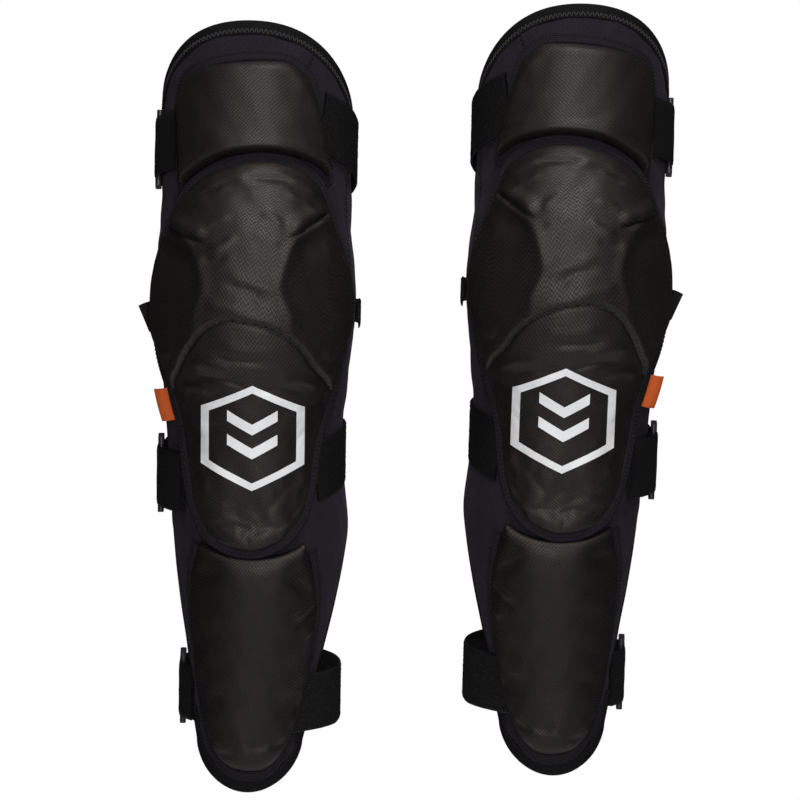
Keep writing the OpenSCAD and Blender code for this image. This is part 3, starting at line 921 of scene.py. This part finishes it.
# Soft folds in the cloth: line, height and half width.
THIGH_FOLDS = [
    ([(-47, 76), (-36, 82), (-24, 84)], -0.9, 2.6),
    ([(48, 84), (38, 86), (26, 88)], -0.7, 2.4),
    ([(-20, 96), (-4, 93), (14, 95)], -0.4, 4.0),
]
KNEE_FOLDS = [
    ([(-34, -33), (-20, -32), (-6, -36)], 1.3, 2.8),
    ([(-30, -39.5), (-14, -40), (0, -44)], -1.4, 2.2),
    ([(-16, -21), (0, -25), (14, -24)], 0.5, 3.0),
    ([(-20, -26.5), (-6, -29), (6, -29)], -1.1, 2.0),
    ([(-6, -32), (8, -34), (26, -34)], 0.8, 2.8),
    ([(8, -40), (24, -41), (40, -48)], 1.3, 2.6),
    ([(2, -46), (16, -46), (30, -50)], -0.9, 2.2),
    ([(-44, -52), (-32, -47), (-18, -49)], 1.1, 2.8),
    ([(-36, -94), (-30, -104), (-27, -116)], 1.2, 3.6),
    ([(-34, -112), (-24, -121), (-12, -126)], 0.8, 3.4),
    ([(28, -98), (30, -108), (22, -120)], 1.1, 3.6),
    ([(18, -112), (8, -124), (0, -130)], -0.7, 3.2),
    ([(-24, 31), (-17, 36), (-9, 37)], 0.8, 2.4),
    ([(-21, 21), (-14, 22), (-6, 27)], 1.1, 2.0),
    ([(-24, 17), (-17, 15), (-10, 17)], -0.8, 2.0),
    ([(15, 31), (10, 37), (4, 41)], 0.7, 2.4),
    ([(14, 24), (8, 24), (0, 29)], 0.8, 2.2),
    ([(33, 48), (24, 50), (16, 56)], 0.9, 2.6),
    ([(-40, 44), (-30, 50), (-22, 52)], 0.9, 2.6),
    ([(-14, 5), (0, 1), (8, -6)], -1.0, 2.4),
    ([(-13, 10), (2, 5.5), (15, 1)], 1.1, 2.6),
    ([(-22, -2), (-12, -5), (-2, -6)], 0.8, 2.4),
    ([(-10, 56), (0, 44), (4, 30)], -0.6, 5.0),
    ([(-60, -28), (-52, -30), (-42, -27)], 0.8, 2.8),
    ([(50, -22), (44, -26), (34, -26)], 0.9, 2.8),
]
SHIN_FOLDS = [
    ([(45, -184), (36, -193), (22, -201)], 1.3, 2.6),
    ([(46, -189), (37, -199), (24, -208)], -0.9, 2.2),
    ([(46, -206), (36, -214)], 0.9, 2.6),
    ([(40, -262), (28, -278), (20, -288)], 0.9, 2.6),
    ([(34, -166), (42, -172)], 0.8, 2.2),
]


def tip_rise(s):
    """How far the panel's rounded tip stands off the leg, over the shin pad's top."""
    return 2.2 * smooth((-136 - s) / 14)


def knee_lift(grid):
    phi, s = grid[..., 0], grid[..., 1]
    high = np.maximum(bulge(KNEE_HEIGHTS(s), KNEE_SHIFT(s), phi), 2.0)
    return EDGE_LIFT + high * crown(border_distance(grid), 12.0, 0.16) + tip_rise(s)


def fade(along, start, end):
    """1 in the middle of a line, falling to 0 over its first and last parts."""
    return smooth(along / start) * smooth((1 - along) / end)


def folds(grid, table):
    """The height that a table of folds adds at each place."""
    f = flat(grid)
    total = np.zeros(grid.shape[:-1])
    for points, height, width in table:
        away, _, along = off_line(f, flat(curve(points, 24)))
        total += height * bell(away, width) * fade(along, 0.3, 0.3)
    return total


def knee_details(grid):
    """Seams, darts, facets and folds of the knee panel, in millimetres of height."""
    f = flat(grid)
    phi, s = grid[..., 0], grid[..., 1]
    inside = smooth(border_distance(grid) / 7)
    total = folds(grid, KNEE_FOLDS) + puckers(grid, 0.9)
    away, side, along = off_line(f, flat(curve(ARCH, 90)))
    total -= 1.3 * bell(away, 1.0) * np.maximum(0.4, fade(along, 0.12, 0.12))
    total += np.where(side > 0, 0.5 * bell(away - 3.2, 3.2), -1.8 * np.exp(-away / 45))
    for dart in (LEFT_DART, RIGHT_DART):
        away, side, along = off_line(f, flat(curve(dart, 50)))
        above = side if dart[-1][0] > dart[0][0] else -side
        deep = fade(along, 0.35, 0.18)
        total += deep * (-2.5 * bell(away, 1.15)
                         + np.where(above > 0, 2.4 * bell(away - 4.5, 4.2),
                                    0.7 * bell(away - 3.0, 2.4) - 1.6 * bell(away - 9, 7)))
    for ridge, reach_phi in ((LEFT_RIDGE, -80.0), (RIGHT_RIDGE, 66.0)):
        line = curve(ridge, 40)
        heights, angles = line[::-1, 1], line[::-1, 0]
        ridge_phi = np.interp(s, heights, angles)
        share = np.clip((phi - ridge_phi) / (reach_phi - ridge_phi), 0, 1)
        level = smooth((s + 26) / 26) * smooth((40 - s) / 16)
        total -= 4.6 * level * np.sin(math.pi * np.clip(share, 0, 1) ** 0.75)
        total += 1.1 * level * bell((phi - ridge_phi) * 1.2, 4.5)
    return total * inside


def shin_lift(grid):
    s = grid[..., 1]
    level = np.interp(s, [-306, -290, -250, -204, -152], [9.0, 10.4, 11.4, 10.4, 8.4])
    high = np.maximum(bulge(level, 12.0, grid[..., 0]), 2.0)
    others = np.minimum.reduce([side_distance(grid, SHIN_PAD[k])
                                for k in ("left", "right", "bottom")])
    under_tip = crown(side_distance(grid, SHIN_PAD["top"]), 14.0, 0.12)
    return EDGE_LIFT + high * np.minimum(crown(others, 16.0, 0.14), under_tip)


def shin_details(grid):
    return (folds(grid, SHIN_FOLDS) + puckers(grid, 0.8)) * smooth(border_distance(grid) / 6)


def cut_rows(above, fine, *grids):
    """The rows of the knee panel's grids above or below the height where it is divided."""
    middle = fine.shape[1] // 2
    row = int(np.argmin(np.abs(fine[:, middle, 1] - PANEL_SPLIT)))
    part = slice(row, None) if above else slice(0, row + 1)
    return (fine[part], *(grid[part] for grid in grids))


# ---- build the pads once ----

thigh_fine, thigh_points = pad_sheet(pad_grid(THIGH_PAD, 50, 38), thigh_lift, thigh_details,
                                     2.0, 0.003, 1.2)
knee_fine, knee_points = pad_sheet(pad_grid(KNEE_PAD, 76, 122), knee_lift, knee_details,
                                   3.5, 0.009, 2.4)
shin_fine, shin_points = pad_sheet(pad_grid(SHIN_PAD, 44, 68), shin_lift, shin_details,
                                   2.5, 0.004, 1.4)


def sheet_normals(points, side):
    """Unit normals of a placed grid of points."""
    p = placed(points, side)
    n = np.cross(np.gradient(p, axis=1), np.gradient(p, axis=0))
    return unit(n) * PLACES[side]["mirror"]


def shade_as(piece, normals, side, fine):
    """Shades a piece as part of the undivided sheet, so that no line shows where it is cut."""
    near, far = (placed(on_leg(fine, lift), side) for lift in (BACK_LIFT, 0.0))
    every = np.concatenate([normals.reshape(-1, 3), unit(far - near).reshape(-1, 3)])
    piece.data.normals_split_custom_set_from_vertices(every.tolist())


def divide(line, height):
    """The stretches of an outline above and below a height, each as a list of points."""
    dense = curve([*line, line[0]], 600)
    high = dense[:, 1] > height
    start = int(np.argmax(high & ~np.roll(high, 1)))
    dense, high = np.roll(dense[:-1], -start, axis=0), np.roll(high[:-1], -start)
    turn = int(np.argmin(high))
    return dense[:turn], np.vstack([dense[turn:], dense[:1]])


def grown(points2d, distance):
    """A closed outline moved outwards by a distance in millimetres."""
    f = flat(curve([*points2d, points2d[0]], 400)[:-1])
    step = np.roll(f, -1, axis=0) - np.roll(f, 1, axis=0)
    out = unit(np.stack([step[:, 1], -step[:, 0]], axis=1))
    for _ in range(8):
        out = (out + np.roll(out, 1, axis=0) + np.roll(out, -1, axis=0)) / 3
    f = f + unit(out) * distance
    return np.stack([np.degrees(f[:, 0] / UNROLL_R), f[:, 1]], axis=1)[::8]


def below_tip(points2d):
    """The part of the shin pad's outline that the knee panel's tip leaves open."""
    line = np.asarray(points2d)
    start = int(np.argmax(line[:, 1]))
    line = np.roll(line, -start, axis=0)
    keep = line[:, 1] < -146.0 - 0.14 * np.abs(line[:, 0] + 4)
    keep &= ~((np.abs(line[:, 0] + 5) < 36) & (line[:, 1] > -175))
    first = int(np.argmax(keep))
    last = len(keep) - int(np.argmax(keep[::-1]))
    return line[first:last]


def loop_stitches(shape, points2d, lift, **kw):
    """Stitches all the way round a closed outline."""
    p, n = (np.vstack([rows, rows[:1]]) for rows in leg_line(points2d, lift, 1.5, closed=True))
    return stitches(shape, p, n, **kw)


# ---- straps ----

class Loop:
    """A strap's ring round the leg. Angles turn from the front over the inner side."""

    def __init__(self, body, centre, radius, path, width, tab_end, name):
        self.body, self.centre, self.radius = body, np.array(centre, float), radius
        self.path, self.width, self.tab_end, self.name = path, width, tab_end, name
        self.bar_circle = radius + BAR_LIFT

    def height(self, psi):
        return np.interp(psi, [p[0] for p in self.path], [p[1] for p in self.path])

    def point(self, psi, radius, s=None):
        a = np.radians(psi)
        s = self.height(psi) if s is None else s + 0 * a
        return np.stack([self.centre[0] + radius * np.sin(a), self.centre[1] - radius * np.cos(a),
                         s], axis=-1)

    def bar(self, end):
        """Angle of a buckle bar: end -1 is the front one and 1 the rear one."""
        return 360 - BUCKLE_ANGLE - end * math.degrees(BAR_PITCH / 2 / self.bar_circle)


# The buckles' bars, as in the CAD, and the thickness of tabs, free ends and straps.
BAR_LIFT, BAR_PITCH, BUCKLE_ANGLE, BAR_R = 2.6, 12.0, 88.0, 1.6
FOLD_T, TAIL_T, STRAP_T = 1.2, 0.6, 2.0
# By strap, in degrees: where its sewn end starts, over how much it leaves the sleeve, and how
# far its free end is laid back. Then how far that end droops.
STRAP_START = {"top": 42, "calf": 42, "ankle": 34}
LEAVES_OVER = {"top": 26, "calf": 26, "ankle": 34}
LAID_BACK = {"top": 40, "calf": 40, "ankle": 44}
DROOP = {"top": 4.0, "calf": 19.0, "ankle": 2.0}
LOOPS = [
    Loop("thigh", (0, 0), 62.6, [(40, 107), (60, 103), (90, 95), (135, 88), (180, 87),
                                 (225, 91), (262, 95), (272, 95)], 40.0, 52, "top"),
    Loop("shin", (0, 0), 58.1, [(40, -105), (60, -102), (90, -98.5), (135, -101), (180, -106),
                                (225, -111), (262, -114.5), (272, -114.5)], 40.0, 47, "calf"),
    Loop("shin", (7, 12), 50.0, [(30, -262), (60, -262), (90, -261), (180, -261),
                                 (262, -260), (272, -260)], 38.0, 60, "ankle"),
]


def pile_relief(amount):
    """Uneven loops on a strap's face, the same on every run."""
    def relief(along, across, up):
        rough = (np.sin(along * 4.1 + across * 2.3) + np.sin(along * 2.7 - across * 3.9 + 1.3)
                 + np.sin(along * 6.3 + 2.1 * across * across * 0.1))
        return np.where(up > 0.9, amount * rough / 3, -0.3 * amount * rough / 3)
    return relief


RIB_PITCH, WEFT_PITCH = 1.6, 1.1


def rib_relief(amount):
    """The ribs and cross threads of webbing, on both of its faces."""
    def relief(along, across, up):
        wave = (np.cos(across * 2 * math.pi / RIB_PITCH)
                + 0.35 * np.cos(along * 2 * math.pi / WEFT_PITCH))
        return np.where(up > 0, amount, -amount) * wave
    return relief


def main_strap(loop):
    """The elastic strap from its sewn end on the inner side round the back to the buckle."""
    start = STRAP_START[loop.name]
    end = loop.bar(1) - math.degrees(2.9 / loop.radius)
    psi = np.linspace(start, end, int(math.radians(end - start) * loop.radius / 1.5))
    p = loop.point(psi, loop.radius + STRAP_T / 2)
    on = on_leg(np.stack([psi, loop.height(psi)], axis=-1), 1.2)
    off_centre = np.linalg.norm(on[:, :2] - p[:, :2], axis=1)
    hold = smooth((psi - start - 4) / LEAVES_OVER[loop.name])[:, None]
    if loop.name == "ankle" or off_centre[0] > 0.5:
        p = on * (1 - hold) + p * hold
    return sweep(Shape(), p, outwards(psi), tape(loop.width / 2, -1.0, 1.0, 28),
                 relief=pile_relief(0.3))


def wrapped(loop, end, thick, first):
    """Where a webbing is folded round a buckle bar, from an angle of first degrees to 90: the
    points along its middle, and the bar's height."""
    bar = loop.bar(end)
    centre = loop.point(np.array([bar]), loop.bar_circle)[0]
    out = outwards(np.array([bar]))[0]
    sideways = end * np.array([-out[1], out[0], 0.0])
    wrap = BAR_R + 0.05 + thick / 2
    return np.stack([centre + wrap * (sideways * math.cos(a) + out * math.sin(a))
                     for a in np.radians(np.linspace(first, 90, 12))]), loop.height(bar)


def path_normals(points):
    """Normals of a flat path at constant height, to its left."""
    step = np.gradient(points, axis=0)
    return unit(np.stack([step[:, 1], -step[:, 0], 0 * step[:, 0]], axis=1))


def buckle_tab(loop):
    """Webbing sewn to the sleeve, folded round the front bar and laid back over itself."""
    turn, s = wrapped(loop, -1, FOLD_T, -80)
    front = np.linspace(360 - loop.tab_end, loop.bar(-1) + 4.5, 10)
    inner = loop.point(front, np.linspace(loop.radius - 0.1, loop.radius + 0.25, 10), s)
    outer = loop.point(front[:0:-1], np.linspace(loop.radius + 4.6, loop.radius + 1.5, 9), s)
    p = curve(np.vstack([inner, turn, outer]), 90)
    section = tape((loop.width - 1) / 2, -FOLD_T / 2, FOLD_T / 2, 80)
    return sweep(Shape(), p, -path_normals(p), section, relief=rib_relief(0.07))


def strap_tail(loop):
    """The free end: round the rear bar, back along the strap, then lifting and drooping."""
    turn, s = wrapped(loop, 1, TAIL_T, -75)
    psi = np.linspace(loop.bar(1) - 4.2, loop.bar(1) - LAID_BACK[loop.name], 16)
    t = np.linspace(0, 1, 16)
    radius = loop.radius + STRAP_T + 1.9 + 1.5 * np.exp(-t * 8) + 2.0 * t**3
    lay = loop.point(psi, radius, s)
    lay[:, 2] += (loop.height(psi) - s) - DROOP[loop.name] * t**2
    p = curve(np.vstack([turn, lay]), 80)
    section = tape((loop.width - 3.0) / 2, -TAIL_T / 2, TAIL_T / 2, 80)
    return sweep(Shape(), p, path_normals(p), section, relief=rib_relief(0.06))


def knee_strap():
    """The narrow elastic behind the knee, with its sewn pull stub on the outer side."""
    side_x, back_y, corner = 67.3, 59.0, 34.0
    turn = np.radians(np.linspace(0, 90, 12))
    inner = [(side_x, -7.2), (side_x, 2), (side_x, 12)]
    inner += [(side_x - corner + corner * math.cos(a), back_y - corner + corner * math.sin(a))
              for a in turn]
    path = inner + [(-x, y) for x, y in inner[::-1]]
    p = curve([(x, y, -8.0) for x, y in path], 150)
    n = path_normals(p)
    shape = sweep(Shape(), p, n, tape(9.0, -1.0, 1.0, 16), relief=pile_relief(0.22))
    stub = curve([(-67.6, 2.4, -12.5), (-69.2, 3.4, -13.0), (-71.2, 4.4, -13.9),
                  (-72.2, 4.8, -14.4)], 12)
    return sweep(shape, stub, -path_normals(stub), tape(9.4, -1.5, 1.5, 40),
                 relief=rib_relief(0.12))


# ---- print and label ----

# The print, as x and height from its middle: a hexagon ring and two chevrons.
EMBLEM_AT = (1.0, -78.0)
CHEVRON_LOW = [(-16, 9), (0, 0), (16, 9)]
CHEVRON_TALL = 7
CHEVRON_DROPS = (2, -14)
HEXAGON_HALVES = ((33, 35), (28, 30))
FILM_PROUD, FILM_SUNK = 0.3, 0.35
IN_FRONT = -150


def hexagon(half_w, half_h):
    """Its corners, clockwise from the top one and back to it."""
    c = 0.55 * half_h
    return [(0, half_h), (half_w, c), (half_w, -c), (0, -half_h), (-half_w, -c), (-half_w, c),
            (0, half_h)]


def strip_grid(a, b, across=5, step=1.6):
    """A grid between two open lines of corner points with equal numbers of corners."""
    rows = []
    for (a0, a1), (b0, b1) in zip(zip(a, a[1:]), zip(b, b[1:])):
        n = max(2, int(np.linalg.norm(np.subtract(a1, a0)) / step))
        t = np.linspace(0, 1, n, endpoint=False)[:, None]
        left = np.array(a0) + t * np.subtract(a1, a0)
        right = np.array(b0) + t * np.subtract(b1, b0)
        rows.append(np.stack([left, right], axis=1))
    rows.append(np.array([[a[-1], b[-1]]], float))
    ends = np.concatenate(rows)
    w = np.linspace(0, 1, across)[None, :, None]
    return ends[:, :1] * (1 - w) + ends[:, 1:] * w


def emblem():
    """A raised film that follows the simulated panel under it."""
    tree = BVHTree.FromPolygons(knee_points.reshape(-1, 3).tolist(),
                                grid_faces(*knee_points.shape[:2]).tolist())
    strips = [strip_grid(*(hexagon(*halves) for halves in HEXAGON_HALVES))]
    for drop in CHEVRON_DROPS:
        low, top = ([(x, y + up) for x, y in CHEVRON_LOW] for up in (drop, drop + CHEVRON_TALL))
        strips.append(strip_grid(low, top, across=6))
    shape = Shape()
    for strip in strips:
        front = np.zeros((*strip.shape[:2], 3))
        normals = np.zeros_like(front)
        for i in range(strip.shape[0]):
            for j in range(strip.shape[1]):
                x, s = strip[i, j] + EMBLEM_AT
                hit, normal, _, _ = tree.ray_cast(Vector((x, IN_FRONT, s)), Vector((0, 1, 0)))
                front[i, j] = hit
                normals[i, j] = normal if normal.y < 0 else -normal
        closed_slab(shape, front + normals * FILM_PROUD, front - normals * FILM_SUNK, strip)
    return shape


# The label's upper and lower ends, how far it stands out, and the points of its grid.
LABEL_TOP, LABEL_FOOT, LABEL_SHOWS = -52.5, -73.5, 8.5
LABEL_ROWS, LABEL_COLS = 16, 14


def side_label():
    """A folded woven label caught in the side seam."""
    along = np.linspace(0, 1, LABEL_COLS)
    heights = np.linspace(LABEL_TOP, LABEL_FOOT, LABEL_ROWS)
    lean = np.interp(heights, [LABEL_FOOT, LABEL_TOP], [0.0, 5.5])
    grid = np.zeros((LABEL_ROWS, LABEL_COLS, 3))
    for i, (s, shift) in enumerate(zip(heights, lean)):
        root_x, root_y = -50.0 - shift, -34.5
        curl = 0.9 * math.sin(i / (LABEL_ROWS - 1) * math.pi)
        x = root_x - LABEL_SHOWS * along - 0.3 * curl
        y = root_y + 2.6 * along - 1.8 * np.sin(along * math.pi) - curl * along
        grid[i] = np.stack([x, y, s - 1.6 * along], axis=1)
    uv = np.stack(np.meshgrid(along * 13, heights), axis=-1)
    back = grid + np.array([0.25, 0.95, 0])
    return closed_slab(Shape(), grid[::-1], back[::-1], uv[::-1])


# ---- everything on one side ----

# Height where the panel's binding and stitches are divided into upper and lower pieces.
BINDING_SPLIT = -16.0
TONGUE_TIP = 30.0


def inset_tongue():
    """The tongue's edge from the inner side round to the outer, drawn in a little."""
    half = [LOWER_EDGE[-1]] + [tongue_point(a) for a in (88, 75, 60, 45, 30, 15, 0)]
    whole = half + mirrored(half[:-1])[::-1]
    return [(p * 0.955, s + 2.6 * float(np.clip((TONGUE_Z - s) / TONGUE_TIP, 0, 1)))
            for p, s in whole]


def dress(side):
    def stand_for(piece, *nodes):
        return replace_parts(piece, *[f"{side}_{n}" for n in nodes])

    def piece(name, shape, material, slot, *nodes):
        made = make(side, name, shape, MATERIALS[material])
        if nodes:
            stand_for(made, *nodes)
        return made

    def fixed(body, name, shape, material, slot, *nodes):
        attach(piece(name, shape, material, slot, *nodes), f"{side}_{body}")

    def pad(name, fine, points, weave, material, nodes):
        """A pad's cover. The panel's lower part stands off the leg at its tip, back and all."""
        lift = BACK_LIFT + (tip_rise(fine[..., 1]) if name == "tibia_panel" else 0)
        shape = closed_slab(Shape(), points, on_leg(fine, lift), weave)
        made = piece(name, shape, *material, *nodes)
        return made

    # sleeve
    upper = piece("sleeve_upper", sleeve_shape(UPPER_GRID), "knit", "sleeve_neoprene",
                  "thigh_sleeve", "knee_sleeve")
    bend_upper(upper, side)
    lower = piece("sleeve_lower", sleeve_shape(LOWER_GRID), "knit", "sleeve_neoprene",
                  "shin_sleeve")
    bend_lower(lower, side)

    hem_shape, hem_line, hem_normals = top_hem()
    fixed("thigh", "top_hem", hem_shape, "hem", "hem_tape", "thigh_hem")
    fixed("thigh", "hem_gripper", gripper(), "grip", "grip_silicone", "thigh_gripper")
    for word, turned in (("inner", list), ("outer", mirrored)):
        bend_upper(piece(f"{word}_edge_upper", edge_binding(turned(UPPER_SIDE)), *HEM), side)
        bend_lower(piece(f"{word}_edge_lower", edge_binding(turned(LOWER_EDGE)), *HEM), side)
    tongue = inset_tongue()
    fixed("shin", "tongue_hem", edge_binding(tongue, 4.4, 0.7), *HEM, "shin_hem")

    # pads
    twill_pad = ("pad", "pad_twill")
    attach(pad("thigh_pad", thigh_fine, thigh_points, weave_places(thigh_points), twill_pad,
                ("thigh_pad_cover", "thigh_pad_foam")), f"{side}_thigh")
    whole = sheet_normals(knee_points, side)
    for name, above, nodes, mend in (
            ("knee_panel", True, ("knee_cover", "knee_insert"), bend_upper),
            ("tibia_panel", False, ("tibia_cover", "tibia_insert"), bend_lower)):
        fine, points, weave, normals = cut_rows(above, knee_fine, knee_points,
                                                weave_places(knee_points), whole)
        made = pad(name, fine, points, weave, twill_pad, nodes)
        shade_as(made, normals, side, fine)
        mend(made, side)
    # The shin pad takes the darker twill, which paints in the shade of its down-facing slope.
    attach(pad("shin_pad", shin_fine, shin_points, weave_places(shin_points),
                ("shin", "shin_twill"), ("shin_pad_cover", "shin_pad_foam")), f"{side}_shin")

    # bindings and welts round the pads
    high, low = divide(grown(outline(KNEE_PAD), 1.6), BINDING_SPLIT)
    section = rounded(3.6, -0.4, 3.0, 1.5, 5)
    for name, part, mend in (("panel_binding_upper", high, bend_upper),
                             ("panel_binding_lower", low, bend_lower)):
        p, n = line_on(part, 0.2)
        p = p + n * tip_rise(p[:, 2:])
        mend(piece(name, sweep(Shape(), p, n, section), *BINDING), side)
    p, n = leg_line(grown(outline(THIGH_PAD), 3.8), 0.0, closed=True)
    shape = sweep(Shape(), p, n, rounded(3.1, -0.5, 0.9, 0.6, 3), closed=True)
    fixed("thigh", "thigh_pad_welt", shape, *BINDING)
    p, n = line_on(below_tip(grown(outline(SHIN_PAD), 4.2)), 0.0)
    fixed("shin", "shin_pad_welt", sweep(Shape(), p, n, rounded(3.5, -0.5, 1.0, 0.6, 3)), *BINDING)

    # stitching
    zigzag = stitches(Shape(), hem_line, hem_normals, pitch=1.5, share=1.0, thick=0.28,
                      offset=1.9, zigzag=1.7, sink=-0.75, rise=1.15)
    fixed("thigh", "hem_stitches", zigzag, "light_thread", "hem_tape")
    rows = Shape()
    for distance in (2.0, 5.7):
        loop_stitches(rows, grown(outline(THIGH_PAD), distance), 0.95, pitch=2.6)
    stitches(rows, *leg_line([(33, 141), (37, 150), (40, 158)], 0.2), pitch=1.8, share=1.0,
             zigzag=1.9, thick=0.3)
    fixed("thigh", "thigh_stitches", rows, *THREAD)
    rows = Shape()
    for distance in (2.4, 6.2):
        stitches(rows, *line_on(below_tip(grown(outline(SHIN_PAD), distance)), 1.05), pitch=2.6)
    for part in (1, -1):
        line = [(part * angle, s) for angle, s in tongue[:8]]
        stitches(rows, *leg_line(line, 0.65), pitch=2.4, offset=part * 3.0)
    fixed("shin", "shin_stitches", rows, *THREAD)
    for name, part, joint, mend in (
            ("stitches_upper", high, [(73, 80), (71, 55), (72, 30), (74, 1)], bend_upper),
            ("stitches_lower", low, [(74, -1), (69, -25), (64, -50), (57, -80)], bend_lower)):
        rows = Shape()
        for distance in (-1.1, 1.1):
            p, n = line_on(part, 3.15)
            stitches(rows, p + n * tip_rise(p[:, 2:]), n, pitch=2.8, offset=distance)
        stitches(rows, *leg_line(joint, 0.35), pitch=2.1, share=1.0, zigzag=1.5, thick=0.32)
        mend(piece(name, rows, *THREAD), side)

    # straps and buckles
    for loop in LOOPS:
        name = loop.name
        fixed(loop.body, f"{name}_band", main_strap(loop), "pile", "loop_elastic", f"{name}_strap")
        fixed(loop.body, f"{name}_tab", buckle_tab(loop), *WEB, f"{name}_buckle_tab")
        fixed(f"{name}_tail", f"{name}_tail", strap_tail(loop), *WEB, f"{name}_strap_tail")
        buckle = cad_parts[f"{side}_{name}_buckle"]
        buckle.data.materials.clear()
        buckle.data.materials.append(MATERIALS["plastic"])
        soften = buckle.modifiers.new("Bevel", "BEVEL")
        soften.width, soften.segments, soften.limit_method = 0.5 * MM, 2, "ANGLE"
    fixed("knee", "knee_band", knee_strap(), "pile", "loop_elastic", "knee_strap")

    # print and label
    printed = make(side, "front_print", EMBLEM_SHAPE, MATERIALS["white"], True)
    stand_for(printed, "emblem")
    bend_lower(printed, side)
    tag = piece("side_tag", side_label(), "orange", "label_orange", "side_label")
    tag.visible_glossy = False
    bend_lower(tag, side)


# Material and slot of the pieces that come up more than once.
HEM, BINDING = ("hem", "hem_tape"), ("binding", "hem_tape")
THREAD, WEB = ("thread", "hem_tape"), ("web", "webbing")
EMBLEM_SHAPE = emblem()
for side in PLACES:
    dress(side)


# ---- camera, light and floor ----

def aim(thing, target):
    direction = Vector(target) - thing.location
    thing.rotation_euler = direction.to_track_quat("-Z", "Y").to_euler()


SENSOR = 36.0
CAMERA_FAR = 3.0
SEEN_WIDTH = 0.52


def camera():
    """Straight from the front. SEEN_WIDTH metres fill the frame at the guards' distance."""
    data = bpy.data.cameras.new("camera")
    data.sensor_width = SENSOR
    data.lens = SENSOR * CAMERA_FAR / SEEN_WIDTH
    data.clip_end = 50.0
    made = bpy.data.objects.new("camera", data)
    made.location = (-0.0072, -CAMERA_FAR, -0.0665)
    made.rotation_euler = (math.radians(90), 0, 0)
    bpy.context.scene.collection.objects.link(made)
    bpy.context.scene.camera = made


def area(name, place, target, size, power, colour=(1, 1, 1), tall=None):
    """A soft light that the camera does not see, aimed at the target."""
    data = bpy.data.lights.new(name, "AREA")
    data.shape, data.size, data.energy, data.color = "RECTANGLE", size, power, colour
    data.size_y = tall or size
    made = bpy.data.objects.new(name, data)
    made.location = place
    made.visible_camera = False
    bpy.context.scene.collection.objects.link(made)
    aim(made, target)
    return made


def studio():
    middle = (0.0, 0.0, -0.06)
    area("key", (0.25, -1.3, 1.9), middle, 0.6, 36, (1.0, 0.98, 0.96))
    area("strip", (0.06, -2.5, 0.12), middle, 0.3, 46, (1.0, 0.98, 0.97), 1.9)
    area("over", (0, 0.6, 2.1), middle, 1.2, 5)
    # Two lights for the back, kept out of reflections so that they draw no bright rims.
    for name, place, power in (("back_left", (-0.3, 2.5, 1.0), 75),
                               ("back_right", (0.4, 2.6, 0.5), 65)):
        lamp = area(name, place, middle, 0.8, power, (0.97, 0.98, 1.0))
        lamp.visible_glossy = False
    world = bpy.data.worlds.new("studio")
    world.use_nodes = True
    tree = world.node_tree
    tree.nodes.clear()
    seen, light = tree.nodes.new("ShaderNodeBackground"), tree.nodes.new("ShaderNodeBackground")
    seen.inputs[0].default_value, seen.inputs[1].default_value = (1, 1, 1, 1), 1.0
    light.inputs[0].default_value, light.inputs[1].default_value = (0.96, 0.97, 1, 1), 0.03
    path, mix = tree.nodes.new("ShaderNodeLightPath"), tree.nodes.new("ShaderNodeMixShader")
    output = tree.nodes.new("ShaderNodeOutputWorld")
    tree.links.new(path.outputs["Is Camera Ray"], mix.inputs[0])
    tree.links.new(light.outputs[0], mix.inputs[1])
    tree.links.new(seen.outputs[0], mix.inputs[2])
    tree.links.new(mix.outputs[0], output.inputs[0])
    bpy.context.scene.world = world
    bpy.context.scene.view_settings.view_transform = "Standard"


FLOOR_R, FLOOR_Z = 1.2, -1.0


def floor():
    """A plain pale disc well below the guards."""
    turns = np.radians(np.arange(0, 360, 5))
    ring = [(FLOOR_R * math.cos(a), FLOOR_R * math.sin(a), FLOOR_Z) for a in turns]
    mesh = bpy.data.meshes.new("floor")
    mesh.from_pydata([(0, 0, FLOOR_Z)] + ring, [],
                     [(0, k + 1, (k + 1) % len(ring) + 1) for k in range(len(ring))])
    made = bpy.data.objects.new("floor", mesh)
    bpy.context.scene.collection.objects.link(made)
    g = Graph("studio_floor")
    g.set(colour=g.shades(g.noise(300, 2), (1.0, 1.0, 1.0), (0.3, 0.58), (0.7, 0.62)), rough=0.8)
    mesh.materials.append(g.material)


camera()
studio()
floor()
